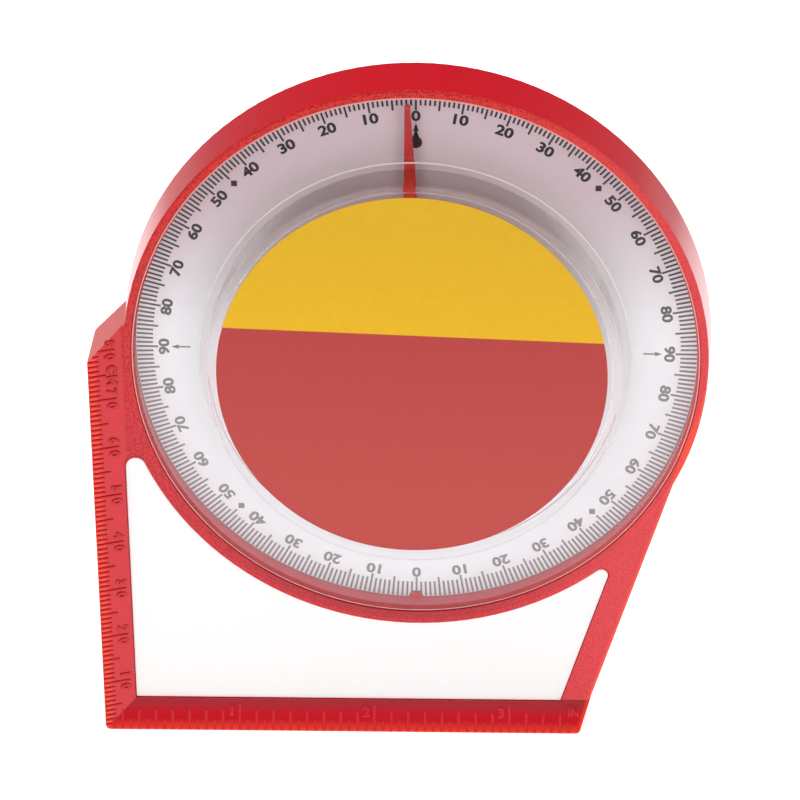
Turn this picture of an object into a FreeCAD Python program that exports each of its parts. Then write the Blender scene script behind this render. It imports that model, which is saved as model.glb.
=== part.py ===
import FreeCAD, Part
import math
import os

# Drum. Lengths are in millimetres.
rim_radius = 52.95
rim_width = 1.35
rim_proud = 0.15
rim_edge_rounding = 0.4
drum_draft = 0.8
drum_back_rounding = 0.6
drum_floor_thickness = 2.0

# Case outline round the drum, seen from the front
case_depth = 13.9
drum_left_gap = 6.35
drum_rise = 23.45
base_length = 89.3
chamfer_start_above_axis = 0.6
chamfer_run = 12.0
base_corner_radius = 1.0
case_back_rounding = 0.6

# Sloping scale strips along the left and bottom edges, and the web between them
strip_width = 6.1
strip_fall = 2.2
strip_land = 0.3
web_thickness = 2.2
strut_tangent_inset = 0.65
strut_face_width = 5.05
strut_edge_rounding = 0.4

# Shallow recess in the web that holds the white panel
recess_margin = 5.7
recess_drum_gap = 1.1
recess_depth = 0.6
recess_left_tip_radius = 1.85
recess_right_tip_radius = 1.2
panel_thickness = 0.3
panel_side_clearance = 0.15

# Hollow behind the web, open to the back
left_wall_thickness = 3.4
strut_wall_thickness = 3.0
base_wall_height = 7.4
hollow_drum_gap = 0.85
hollow_top_height = 62.0
hollow_tip_radius = 1.2

# Window
lens_side_clearance = 0.1
lens_setback = 0.2
lens_thickness = 1.8
lens_edge_chamfer = 0.25
boss_front_radius = 37.4
boss_flare = 1.7
boss_height = 6.25
boss_front_rounding = 0.8
boss_base_rounding = 0.7
boss_wall = 1.7
label_thickness = 0.2
label_margin = 2.25
label_left_shift = 0.4

# Dial plate
lens_ledge_width = 0.8
dial_side_clearance = 0.1
dial_setback = 5.79
dial_thickness = 0.76
dial_hole_radius = 3.2
dial_ledge_width = 3.3
key_outer_width = 2.7
key_inner_width = 1.5
key_height = 1.15
key_proud = 0.3
key_clearance = 0.1
dial_turn_deg = 0.7

# Posts under the dial plate
centre_post_radius = 8.0
floor_rib_count = 6
floor_rib_width = 1.6

# Arbor and its two cups
arbor_radius = 0.8
arbor_running_clearance = 0.05
arbor_end_clearance = 0.1
cup_radius = 2.5
cup_floor = 0.8
rear_cup_length = 3.4
rear_cup_proud = 0.6
front_cup_length = 2.6
front_cup_proud = 0.3
front_post_radius = 4.2

# Pendulum
pointer_setback = 3.35
pointer_thickness = 0.8
pointer_tip_gap = 1.9
pointer_tip_width = 0.95
pointer_root_width = 5.0
pointer_lean_deg = 1.1
pointer_disc_radius = 9.0
pointer_tail_width = 18.0
pointer_tail_length = 19.0
hub_radius = 3.0
hub_flange_radius = 5.0
hub_flange_thickness = 0.7
hub_front_length = 3.8
weight_thickness = 3.0
weight_boss_gap = 4.7
weight_inner_radius = 9.6
weight_half_angle_deg = 75.0
rivet_shank_radius = 1.2
rivet_head_radius = 2.1
rivet_head_height = 0.55
rivet_spacing = 10.0
rivet_drop = 15.0

# Base magnets and their steel backing strips
magnet_count = 2
magnet_length = 34.0
magnet_width = 6.0
magnet_height = 4.6
magnet_pitch = 39.0
magnet_recess = 0.15
keeper_thickness = 0.8
pocket_side_clearance = 0.2
pocket_front_wall = 4.6

# Tools reach this far past the faces that they open.
cutter_reach = 5.0

# Two points nearer to each other than this count as one.
same_spot = 0.001

# Positions in the shared frame: +Z is up and the dial faces -Y. The origin is the
# middle of the bounding box at the height of the base.
drum_back_radius = rim_radius + drum_draft
axis_from_left_edge = rim_radius + drum_left_gap
axis_height = rim_radius + drum_rise
chamfer_start_height = axis_height + chamfer_start_above_axis
label_ahead_of_rim = boss_height + label_thickness - lens_setback
label_ahead_of_case = label_ahead_of_rim - strip_fall + rim_proud
left_edge_x = -(axis_from_left_edge + drum_back_radius) / 2
axis_x = left_edge_x + axis_from_left_edge
back_y = (case_depth + label_ahead_of_case) / 2
crest_y = back_y - case_depth
web_y = crest_y + strip_fall
rim_y = web_y - rim_proud
lens_front_y = rim_y + lens_setback
lens_back_y = lens_front_y + lens_thickness
label_front_y = rim_y - label_ahead_of_rim
boss_front_y = label_front_y + label_thickness
boss_inner_y = boss_front_y + boss_wall
dial_front_y = rim_y + dial_setback
dial_back_y = dial_front_y + dial_thickness
drum_floor_y = back_y - drum_floor_thickness
pointer_y = rim_y + pointer_setback
pointer_back_y = pointer_y + pointer_thickness
weight_front_y = pointer_y - weight_thickness
rear_cup_y = dial_back_y - rear_cup_proud
rear_cup_end_y = rear_cup_y + rear_cup_length
front_cup_end_y = boss_inner_y + cup_floor
front_cup_y = front_cup_end_y + front_cup_length
front_post_y = front_cup_y - front_cup_proud
lens_bore_radius = rim_radius - rim_width
lens_radius = lens_bore_radius - lens_side_clearance
dial_bore_radius = lens_bore_radius - lens_ledge_width
dial_radius = dial_bore_radius - dial_side_clearance
pointer_tip_radius = dial_bore_radius - pointer_tip_gap
boss_base_radius = boss_front_radius + boss_flare
label_radius = boss_front_radius - label_margin
weight_outer_radius = boss_front_radius - boss_wall - weight_boss_gap
strut_radius = rim_radius - strut_tangent_inset
magnet_y = crest_y + pocket_front_wall + pocket_side_clearance
keeper_z = magnet_recess + magnet_height
pocket_height = keeper_z + keeper_thickness
base_end_x = left_edge_x + base_length

# Lean of the strut, from the base corner to its touching point on the drum
corner_dx = base_end_x - axis_x
corner_distance = math.hypot(corner_dx, axis_height)
strut_lean = math.asin(strut_radius / corner_distance) - math.atan2(corner_dx, axis_height)


def point(x, y, z):
    return FreeCAD.Vector(x, y, z)


def drum_disc(radius, start_y, end_y):
    """A cylinder on the drum's axis."""
    start = point(axis_x, start_y, axis_height)
    return Part.makeCylinder(radius, end_y - start_y, start, point(0, 1, 0))


def cross_disc(radius, centre_x, centre_z, start_y, end_y):
    """A cylinder parallel to the drum's axis."""
    start = point(centre_x, start_y, centre_z)
    return Part.makeCylinder(radius, end_y - start_y, start, point(0, 1, 0))


def turned(profile):
    """A solid turned about the drum's axis from (radius, y) corners."""
    corners = [point(axis_x + radius, y, axis_height) for radius, y in profile]
    wire = Part.makePolygon(corners + corners[:1])
    centre = point(axis_x, 0, axis_height)
    return Part.Face(wire).revolve(centre, point(0, 1, 0), 360)


def plate(outline, start_y, end_y):
    """A flat solid from (x, z) corners, between two depths."""
    corners = [point(x, start_y, z) for x, z in outline]
    wire = Part.makePolygon(corners + corners[:1])
    return Part.Face(wire).extrude(point(0, end_y - start_y, 0))


def block(low, high):
    """A box between two opposite corners."""
    size = high.sub(low)
    return Part.makeBox(size.x, size.y, size.z, low)


def rounded_corners(solid, radius, places):
    """Round the front-to-back edges that stand nearest to the given (x, z) places."""
    chosen = []
    for x, z in places:
        across = [edge for edge in solid.Edges if runs_front_to_back(edge)]
        across.sort(key=lambda edge: edge_distance(edge, x, z))
        chosen.append(across[0])
    return solid.makeFillet(radius, chosen)


def runs_front_to_back(edge):
    start = edge.Vertexes[0].Point
    end = edge.Vertexes[-1].Point
    sideways = math.hypot(start.x - end.x, start.z - end.z)
    return isinstance(edge.Curve, Part.Line) and sideways < same_spot


def edge_distance(edge, x, z):
    start = edge.Vertexes[0].Point
    return math.hypot(start.x - x, start.z - z)


def strut_point(radius, height):
    """The (x, z) point at a height on a line beside the strut, touching a circle on the drum's axis."""
    touch_x = axis_x + radius * math.cos(strut_lean)
    touch_z = axis_height - radius * math.sin(strut_lean)
    return touch_x + (height - touch_z) * math.tan(strut_lean), height


def strut_touch(radius):
    """The (x, z) point where a line beside the strut touches its circle."""
    x = axis_x + radius * math.cos(strut_lean)
    z = axis_height - radius * math.sin(strut_lean)
    return x, z


def case_outline():
    """Corners of the case round the drum: base, strut and left side with its chamfer."""
    return [
        (left_edge_x, 0),
        (base_end_x, 0),
        strut_touch(strut_radius),
        (axis_x, axis_height),
        (left_edge_x + chamfer_run, chamfer_start_height + chamfer_run),
        (left_edge_x, chamfer_start_height),
    ]


def inner_outline(left_margin, base_margin, strut_margin, top_height):
    """Corners of the space between the left side, the base and the strut."""
    inner_radius = strut_radius - strut_margin
    return [
        (left_edge_x + left_margin, base_margin),
        strut_point(inner_radius, base_margin),
        strut_touch(inner_radius),
        (axis_x, top_height),
        (left_edge_x + left_margin, top_height),
    ]


def left_tip(left_margin, drum_radius):
    """The (x, z) place where a circle on the drum's axis crosses the space's left side."""
    across = axis_from_left_edge - left_margin
    return left_edge_x + left_margin, axis_height - math.sqrt(drum_radius ** 2 - across ** 2)


def right_tip(strut_margin, drum_radius):
    """The (x, z) place where a circle on the drum's axis crosses the space's strut side."""
    inner_radius = strut_radius - strut_margin
    slide = math.sqrt(drum_radius ** 2 - inner_radius ** 2)
    touch_x, touch_z = strut_touch(inner_radius)
    return touch_x - slide * math.sin(strut_lean), touch_z - slide * math.cos(strut_lean)


def recess_space(margin, start_y, end_y):
    """The panel's window shape, drawn in by a margin, between two depths."""
    left_margin = recess_margin + margin
    strut_margin = strut_face_width + margin
    drum_radius = rim_radius + recess_drum_gap + margin
    outline = inner_outline(left_margin, left_margin, strut_margin, axis_height)
    space = plate(outline, start_y, end_y)
    space = space.cut(drum_disc(drum_radius, start_y - cutter_reach, end_y + cutter_reach))
    space = rounded_corners(space, recess_left_tip_radius, [left_tip(left_margin, drum_radius)])
    return rounded_corners(space, recess_right_tip_radius, [right_tip(strut_margin, drum_radius)])


def hollow_space():
    """The hollow behind the web."""
    start_y = web_y + web_thickness
    drum_radius = drum_back_radius + hollow_drum_gap
    outline = inner_outline(left_wall_thickness, base_wall_height, strut_wall_thickness, hollow_top_height)
    end_y = back_y + cutter_reach
    space = plate(outline, start_y, end_y)
    space = space.cut(drum_disc(drum_radius, start_y - cutter_reach, end_y + cutter_reach))
    tips = [right_tip(strut_wall_thickness, drum_radius)]
    return rounded_corners(space, hollow_tip_radius, tips)


def strip_cutter():
    """What is cleared from in front of the two sloping strips and the web."""
    near_y = crest_y - cutter_reach
    far = axis_from_left_edge + drum_back_radius
    profile = [
        (0, crest_y),
        (strip_land, crest_y),
        (strip_width, web_y),
        (far, web_y),
        (far, near_y),
        (0, near_y),
    ]
    side = [point(left_edge_x + across, y, 0) for across, y in profile]
    side_wire = Part.makePolygon(side + side[:1])
    side_cutter = Part.Face(side_wire).extrude(point(0, 0, axis_height + drum_back_radius))
    base = [point(left_edge_x, y, across) for across, y in profile]
    base_wire = Part.makePolygon(base + base[:1])
    base_cutter = Part.Face(base_wire).extrude(point(far, 0, 0))
    return side_cutter.common(base_cutter)


def magnet_block(index, low_z, height, margin):
    """A bar in one magnet's place, drawn out by a margin on its four sides."""
    first_x = left_edge_x + base_length / 2 - magnet_pitch * (magnet_count - 1) / 2
    centre_x = first_x + magnet_pitch * index
    half = magnet_length / 2 + margin
    low = point(centre_x - half, magnet_y - margin, low_z)
    high = point(centre_x + half, magnet_y + magnet_width + margin, low_z + height)
    return block(low, high)


def locating_key(margin, start_y, end_y):
    """The wedge at the foot of the dial that fits the plate's notch, turned as the dial is."""
    outer = dial_bore_radius + margin
    inner = dial_bore_radius - key_height - margin
    outline = [
        (axis_x - key_outer_width / 2 - margin, axis_height - outer),
        (axis_x + key_outer_width / 2 + margin, axis_height - outer),
        (axis_x + key_inner_width / 2 + margin, axis_height - inner),
        (axis_x - key_inner_width / 2 - margin, axis_height - inner),
    ]
    key = plate(outline, start_y, end_y)
    key.rotate(point(axis_x, 0, axis_height), point(0, 1, 0), dial_turn_deg)
    return key


def drum_body():
    """The outside of the drum."""
    drum = turned([(0, rim_y), (rim_radius, rim_y), (drum_back_radius, back_y), (0, back_y)])
    drum = drum.makeFillet(rim_edge_rounding, [circle_edge(drum, rim_radius, rim_y)])
    return drum.makeFillet(drum_back_rounding, [circle_edge(drum, drum_back_radius, back_y)])


def drum_space():
    """The window's bore, the dial's well and the space round the posts under the dial."""
    bore = drum_disc(lens_bore_radius, rim_y - cutter_reach, lens_back_y)
    well = drum_disc(dial_bore_radius, lens_back_y, dial_back_y)
    floor_radius = dial_bore_radius - dial_ledge_width
    floor = drum_disc(floor_radius, dial_back_y, drum_floor_y)
    floor = floor.cut(drum_disc(centre_post_radius, dial_back_y, drum_floor_y))
    for index in range(floor_rib_count):
        floor = floor.cut(floor_rib(index, floor_radius))
    return bore.fuse([well, floor])


def floor_rib(index, floor_radius):
    reach = floor_radius + dial_ledge_width / 2
    low = point(axis_x, dial_back_y, axis_height - floor_rib_width / 2)
    high = point(axis_x + reach, drum_floor_y, axis_height + floor_rib_width / 2)
    rib = block(low, high)
    rib.rotate(point(axis_x, 0, axis_height), point(0, 1, 0), 360 * (index + 1 / 2) / floor_rib_count)
    return rib


def strut_front_edge(frame):
    """The front outer edge of the strut, above the base strip."""
    middle = strut_point(strut_radius, axis_height / 2)
    place = point(middle[0], web_y, middle[1])
    return min(frame.Edges, key=lambda edge: edge.distToShape(Part.Vertex(place))[0])


def back_edges(solid):
    """The outer edges of the left side, the base and the strut, at the back."""
    places = [
        (left_edge_x, axis_height / 2),
        (left_edge_x + base_length / 2, 0),
        strut_point(strut_radius, axis_height / 2),
    ]
    vertices = [Part.Vertex(point(x, back_y, z)) for x, z in places]
    return [min(solid.Edges, key=lambda edge: edge.distToShape(vertex)[0]) for vertex in vertices]


def housing():
    """The red one-piece case."""
    frame = plate(case_outline(), crest_y, back_y)
    frame = rounded_corners(frame, base_corner_radius, [(left_edge_x, 0), (base_end_x, 0)])
    frame = frame.cut(strip_cutter())
    frame = frame.makeFillet(strut_edge_rounding, [strut_front_edge(frame)])
    frame = frame.makeFillet(case_back_rounding, back_edges(frame))
    frame = frame.cut(recess_space(0, crest_y, web_y + recess_depth))
    frame = frame.cut(hollow_space())
    for index in range(magnet_count):
        pocket = magnet_block(index, -cutter_reach, cutter_reach + pocket_height, pocket_side_clearance)
        frame = frame.cut(pocket)
    case = frame.fuse(drum_body()).cut(drum_space())
    case = case.fuse(locating_key(0, dial_front_y - key_proud, dial_back_y))
    case = case.cut(drum_disc(cup_radius, dial_back_y - cutter_reach, rear_cup_end_y))
    return case.removeSplitter()


def white_panel():
    """The plain white card in the web's recess."""
    end_y = web_y + recess_depth
    return recess_space(panel_side_clearance, end_y - panel_thickness, end_y)


def base_magnet(index):
    return magnet_block(index, magnet_recess, magnet_height, 0)


def magnet_keeper(index):
    return magnet_block(index, keeper_z, keeper_thickness, 0)


def dial_plate():
    disc = drum_disc(dial_radius, dial_front_y, dial_back_y)
    disc = disc.cut(drum_disc(dial_hole_radius, dial_front_y - cutter_reach, dial_back_y + cutter_reach))
    return disc.cut(locating_key(key_clearance, dial_front_y - cutter_reach, dial_back_y + cutter_reach))


def lens():
    """The clear window with its hollow centre boss and the post for the front cup."""
    wall_slope = math.atan2(boss_base_radius - boss_front_radius, lens_front_y - boss_front_y)
    inner_drop = boss_wall / math.cos(wall_slope)
    body = turned([
        (0, boss_front_y),
        (boss_front_radius, boss_front_y),
        (boss_base_radius, lens_front_y),
        (lens_radius - lens_edge_chamfer, lens_front_y),
        (lens_radius, lens_front_y + lens_edge_chamfer),
        (lens_radius, lens_back_y),
        (boss_base_radius - inner_drop, lens_back_y),
        (boss_front_radius - inner_drop, boss_inner_y),
        (front_post_radius, boss_inner_y),
        (front_post_radius, front_post_y),
        (cup_radius, front_post_y),
        (cup_radius, boss_inner_y),
        (0, boss_inner_y),
    ])
    base_edge = circle_edge(body, boss_base_radius, lens_front_y)
    body = body.makeFillet(boss_base_rounding, [base_edge])
    front_edge = circle_edge(body, boss_front_radius, boss_front_y)
    return body.makeFillet(boss_front_rounding, [front_edge])


def circle_edge(solid, radius, y):
    """The round edge of a turned solid that has a given radius and depth."""
    rounds = [edge for edge in solid.Edges if isinstance(edge.Curve, Part.Circle)]
    return min(rounds, key=lambda edge: abs(edge.Curve.Radius - radius) + abs(edge.Curve.Center.y - y))


def front_label():
    return cross_disc(label_radius, axis_x - label_left_shift, axis_height, label_front_y, boss_front_y)


def arbor():
    start_y = front_cup_end_y + arbor_end_clearance
    end_y = rear_cup_end_y - cup_floor - arbor_end_clearance
    return drum_disc(arbor_radius, start_y, end_y)


def front_cup():
    bore = drum_disc(arbor_radius + arbor_running_clearance, front_cup_end_y, front_cup_y)
    return drum_disc(cup_radius, boss_inner_y, front_cup_y).cut(bore)


def rear_cup():
    floor_y = rear_cup_end_y - cup_floor
    bore = drum_disc(arbor_radius + arbor_running_clearance, rear_cup_y, floor_y)
    return drum_disc(cup_radius, rear_cup_y, rear_cup_end_y).cut(bore)


def pointer_hub():
    front_y = pointer_y - hub_front_length
    flange_end_y = pointer_back_y + hub_flange_thickness
    hub = drum_disc(hub_radius, front_y, flange_end_y)
    hub = hub.fuse(drum_disc(hub_flange_radius, pointer_back_y, flange_end_y))
    return hub.cut(drum_disc(arbor_radius, front_y, flange_end_y)).removeSplitter()


def rivet_centres():
    """The (x, z) centres of the two weight rivets."""
    half = rivet_spacing / 2
    return [(axis_x + side * half, axis_height - rivet_drop) for side in (-1, 1)]


def pointer():
    """The red needle with its centre disc and its tail over the weight."""
    half_tip = pointer_tip_width / 2
    half_root = pointer_root_width / 2
    needle = plate([
        (axis_x - half_root, axis_height),
        (axis_x + half_root, axis_height),
        (axis_x + half_tip, axis_height + pointer_tip_radius - half_tip),
        (axis_x, axis_height + pointer_tip_radius),
        (axis_x - half_tip, axis_height + pointer_tip_radius - half_tip),
    ], pointer_y, pointer_back_y)
    needle.rotate(point(axis_x, 0, axis_height), point(0, -1, 0), pointer_lean_deg)
    half_tail = pointer_tail_width / 2
    tail_low = point(axis_x - half_tail, pointer_y, axis_height - pointer_tail_length)
    tail_high = point(axis_x + half_tail, pointer_back_y, axis_height)
    body = drum_disc(pointer_disc_radius, pointer_y, pointer_back_y)
    body = body.fuse([needle, block(tail_low, tail_high)]).removeSplitter()
    body = body.cut(drum_disc(hub_radius, pointer_y, pointer_back_y))
    return drilled_for_rivets(body, pointer_y, pointer_back_y)


def drilled_for_rivets(body, start_y, end_y):
    for x, z in rivet_centres():
        body = body.cut(cross_disc(rivet_shank_radius, x, z, start_y, end_y))
    return body


def counterweight():
    """The sector that hangs below the axis."""
    reach = 2 * weight_outer_radius
    half_angle = math.radians(weight_half_angle_deg)
    side = reach * math.sin(half_angle)
    drop = reach * math.cos(half_angle)
    wedge = plate([
        (axis_x, axis_height),
        (axis_x + side, axis_height - drop),
        (axis_x + side, axis_height - reach),
        (axis_x - side, axis_height - reach),
        (axis_x - side, axis_height - drop),
    ], weight_front_y, pointer_y)
    ring = drum_disc(weight_outer_radius, weight_front_y, pointer_y)
    ring = ring.cut(drum_disc(weight_inner_radius, weight_front_y, pointer_y))
    return drilled_for_rivets(ring.common(wedge), weight_front_y, pointer_y)


def weight_rivets():
    """The two rivets that hold the weight to the pointer's tail."""
    front_y = weight_front_y
    rivets = []
    for x, z in rivet_centres():
        shank = cross_disc(rivet_shank_radius, x, z, front_y, pointer_back_y)
        front_head = cross_disc(rivet_head_radius, x, z, front_y - rivet_head_height, front_y)
        rear_head = cross_disc(rivet_head_radius, x, z, pointer_back_y, pointer_back_y + rivet_head_height)
        rivets.append(shank.fuse([front_head, rear_head]).removeSplitter())
    return Part.makeCompound(rivets)


os.makedirs("parts", exist_ok=True)
housing().exportStep("parts/housing.step")
white_panel().exportStep("parts/white_panel.step")
base_magnet(0).exportStep("parts/base_magnet_left.step")
base_magnet(1).exportStep("parts/base_magnet_right.step")
magnet_keeper(0).exportStep("parts/magnet_keeper_left.step")
magnet_keeper(1).exportStep("parts/magnet_keeper_right.step")
dial_plate().exportStep("parts/dial_plate.step")
lens().exportStep("parts/lens.step")
front_label().exportStep("parts/front_label.step")
front_cup().exportStep("parts/front_bearing_cup.step")
rear_cup().exportStep("parts/rear_bearing_cup.step")
arbor().exportStep("parts/arbor.step")
pointer_hub().exportStep("parts/pointer_hub.step")
pointer().exportStep("parts/pointer.step")
counterweight().exportStep("parts/counterweight.step")
weight_rivets().exportStep("parts/weight_rivets.step")
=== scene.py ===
import logging
import math
from collections.abc import Iterable
from dataclasses import dataclass, replace
from enum import Enum
from functools import partial

import bmesh
import bpy
from bmesh.types import BMesh
from bpy.types import Material, Node, NodeOutputs, NodeSocket, NodeTree, Object
from mathutils import Matrix, Vector


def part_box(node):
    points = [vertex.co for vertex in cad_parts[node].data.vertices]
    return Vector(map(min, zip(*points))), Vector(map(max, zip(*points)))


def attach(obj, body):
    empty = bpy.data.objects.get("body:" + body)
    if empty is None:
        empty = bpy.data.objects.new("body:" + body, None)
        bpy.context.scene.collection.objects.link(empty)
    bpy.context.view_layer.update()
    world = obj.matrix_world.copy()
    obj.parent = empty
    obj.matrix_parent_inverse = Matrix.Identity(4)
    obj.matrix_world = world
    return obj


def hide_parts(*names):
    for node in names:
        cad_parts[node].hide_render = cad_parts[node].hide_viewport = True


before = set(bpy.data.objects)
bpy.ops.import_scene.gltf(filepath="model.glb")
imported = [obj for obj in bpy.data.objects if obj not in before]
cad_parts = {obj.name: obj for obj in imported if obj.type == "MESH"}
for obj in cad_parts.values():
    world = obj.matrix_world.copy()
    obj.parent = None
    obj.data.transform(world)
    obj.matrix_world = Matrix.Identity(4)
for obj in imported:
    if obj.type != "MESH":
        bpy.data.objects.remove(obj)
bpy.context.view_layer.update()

logger = logging.getLogger("inclinometer")

CASE_BODY = "case"  # the body that every piece made here moves with
MM = 0.001  # metres in a millimetre
MOULDED_SHARP_DEG = 50.0  # edges of raised marks and figures stay soft below this angle

Outline = list[tuple[float, float]]  # points in a plane, in millimetres


class Layout(Enum):
    """How a row of graduation marks runs."""

    STRAIGHT = "straight"
    ROUND = "round"


# Node and mesh helpers


def linear(colour: str) -> tuple[float, float, float, float]:
    """Turn an sRGB hex colour into a linear one.

    Args:
        colour: Six hex digits after a hash sign.

    Returns:
        Linear red, green, blue and an alpha of one.
    """
    shares = [int(colour[place : place + 2], 16) / 255 for place in (1, 3, 5)]
    red, green, blue = [s / 12.92 if s <= 0.04045 else ((s + 0.055) / 1.055) ** 2.4 for s in shares]
    return red, green, blue, 1.0


def per_metre(millimetres: float) -> float:
    """The texture scale that gives a pattern this size in millimetres."""
    return 1 / (millimetres * MM)


def add_node(tree: NodeTree, kind: str, inputs: dict | None = None, **settings: object) -> Node:
    """Add a node with its settings and what feeds its inputs.

    Args:
        tree: The tree that gets the node.
        kind: The node's type name.
        inputs: A socket to link, or a plain value, for each input's name or index.
        **settings: The node's own properties.

    Returns:
        The new node.
    """
    node = tree.nodes.new(kind)
    for name, value in settings.items():
        setattr(node, name, value)
    for key, value in (inputs or {}).items():
        if isinstance(value, NodeSocket):
            tree.links.new(value, node.inputs[key])
        else:
            node.inputs[key].default_value = value
    return node


@dataclass(frozen=True)
class Ramp:
    """A share that changes evenly from one place to another.

    Attributes:
        start: Where the change starts.
        full: Where it is complete.
        most: The share from there on.
        least: The share before the start.
    """

    start: float
    full: float
    most: float = 1.0
    least: float = 0.0

    def over(self, value: NodeSocket, unit: float = 1.0, zero: float = 0.0) -> dict[str, object]:
        """Say what makes a Map Range node follow the ramp.

        Args:
            value: Where the ramp is read.
            unit: Metres in the unit of its places, or one for plain numbers.
            zero: The place that its places are counted from, in the same unit.

        Returns:
            The node's inputs.
        """
        return {
            "Value": value,
            "From Min": (zero + self.start) * unit,
            "From Max": (zero + self.full) * unit,
            "To Min": self.least,
            "To Max": self.most,
        }


def prism(outline: Outline, low: float, high: float) -> BMesh:
    """Make a closed flat solid from an outline.

    Args:
        outline: Corners in the local plane, in millimetres, anticlockwise.
        low: Height of its underside, in millimetres.
        high: Height of its top, in millimetres.

    Returns:
        The solid, in metres.
    """
    solid = bmesh.new()
    floor = [solid.verts.new((x * MM, y * MM, low * MM)) for x, y in outline]
    top = [solid.verts.new((x * MM, y * MM, high * MM)) for x, y in outline]
    solid.faces.new(reversed(floor))
    solid.faces.new(top)
    for place, corner in enumerate(floor):
        after = (place + 1) % len(floor)
        solid.faces.new((corner, floor[after], top[after], top[place]))
    return solid


def add_to(whole: BMesh, part: BMesh, place: Matrix) -> None:
    """Put a part into a larger mesh and free the part.

    Args:
        whole: The mesh that grows.
        part: The mesh that is copied in.
        place: Where the part goes.
    """
    part.transform(place)
    scratch = bpy.data.meshes.new("scratch")
    part.to_mesh(scratch)
    whole.from_mesh(scratch)
    bpy.data.meshes.remove(scratch)
    part.free()


def turned_about(radius: float, degrees: float) -> Matrix:
    """The place at a radius in millimetres, turned clockwise from the top of a dial."""
    return Matrix.Rotation(-math.radians(degrees), 4, "Z") @ Matrix.Translation((0, radius * MM, 0))


def moved(right: float, up: float) -> Matrix:
    """The place this far to the right and up in a plane, in millimetres."""
    return Matrix.Translation(Vector((right, up, 0)) * MM)


@dataclass(frozen=True)
class Lettering:
    """Generic figures or unit letters of one size.

    Attributes:
        height: Height of a capital, in millimetres.
        boldness: How far each stroke grows sideways, in millimetres.
        depth: Height of the letter above its surface, in millimetres.
        sunk: How far it reaches into its surface, in millimetres.
        rounding: Rounding of the letter's front edges, in millimetres.
        stretch: Width as a share of the font's own.
        curve_steps: How many flats each curve of a stroke is made of.
        rounding_steps: How many flats the rounding is made of, less one.
        weld: Corners nearer than this are merged, in millimetres.
    """

    height: float
    boldness: float
    depth: float
    sunk: float
    rounding: float = 0.0
    stretch: float = 1.0
    curve_steps: int = 4
    rounding_steps: int = 1
    weld: float = 0.001

    def solid(self, text: str) -> BMesh:
        """Make the text as a closed solid, centred in its own plane.

        Args:
            text: The figures or letters.

        Returns:
            The solid, in metres.
        """
        curve = bpy.data.curves.new("lettering", "FONT")
        curve.body = text
        curve.size = self.height
        curve.offset = self.boldness
        curve.resolution_u = self.curve_steps
        curve.extrude = (self.depth + self.sunk) / 2 - self.rounding
        curve.bevel_depth = self.rounding
        curve.bevel_resolution = self.rounding_steps
        carrier = bpy.data.objects.new("lettering", curve)
        bpy.context.scene.collection.objects.link(carrier)
        bpy.context.view_layer.update()
        graph = bpy.context.evaluated_depsgraph_get()
        mesh = bpy.data.meshes.new_from_object(carrier.evaluated_get(graph))
        solid = bmesh.new()
        solid.from_mesh(mesh)
        bpy.data.objects.remove(carrier)
        bpy.data.curves.remove(curve)
        bpy.data.meshes.remove(mesh)
        bmesh.ops.remove_doubles(solid, verts=solid.verts, dist=self.weld)
        across = [vertex.co.x for vertex in solid.verts]
        up = [vertex.co.y for vertex in solid.verts]
        middle = Vector(((min(across) + max(across)) / 2, (min(up) + max(up)) / 2, 0))
        lift = Vector((0, 0, (self.depth - self.sunk) / 2))
        tall = self.height / (max(up) - min(up))
        scale = Matrix.Diagonal((tall * self.stretch * MM, tall * MM, MM, 1))
        solid.transform(scale @ Matrix.Translation(lift - middle))
        bmesh.ops.recalc_face_normals(solid, faces=solid.faces)
        return solid

    def set_out(self, words: list[tuple[str, Matrix]]) -> BMesh:
        """Make several words, each in its own place.

        Args:
            words: The figures or letters, each with its place.

        Returns:
            All of them as one mesh, in metres.
        """
        whole = bmesh.new()
        for text, place in words:
            add_to(whole, self.solid(text), place)
        return whole


@dataclass(frozen=True)
class Corner:
    """One corner of a turned profile, in millimetres.

    Attributes:
        radius: Distance from the axis.
        y: Place along the axis.
        rounding: Radius of its rounding, none if sharp.
        steps: How many flats the rounding is made of.
    """

    radius: float
    y: float
    rounding: float = 0.0
    steps: int = 6

    def points(self, before: "Corner", after: "Corner") -> Outline:
        """The corner's points, along its rounding where it has one.

        Args:
            before: The corner before it.
            after: The corner after it.

        Returns:
            Points as radius and y, in millimetres.
        """
        here = Vector((self.radius, self.y))
        if not self.rounding:
            return [tuple(here)]
        back = (Vector((before.radius, before.y)) - here).normalized()
        ahead = (Vector((after.radius, after.y)) - here).normalized()
        half = back.angle(ahead) / 2
        reach = self.rounding / math.tan(half)
        centre = here + (back + ahead).normalized() * self.rounding / math.sin(half)
        first, last = here + back * reach - centre, here + ahead * reach - centre
        shares = [step / self.steps for step in range(self.steps + 1)]
        return [tuple(centre + first.slerp(last, share) * self.rounding) for share in shares]


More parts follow.
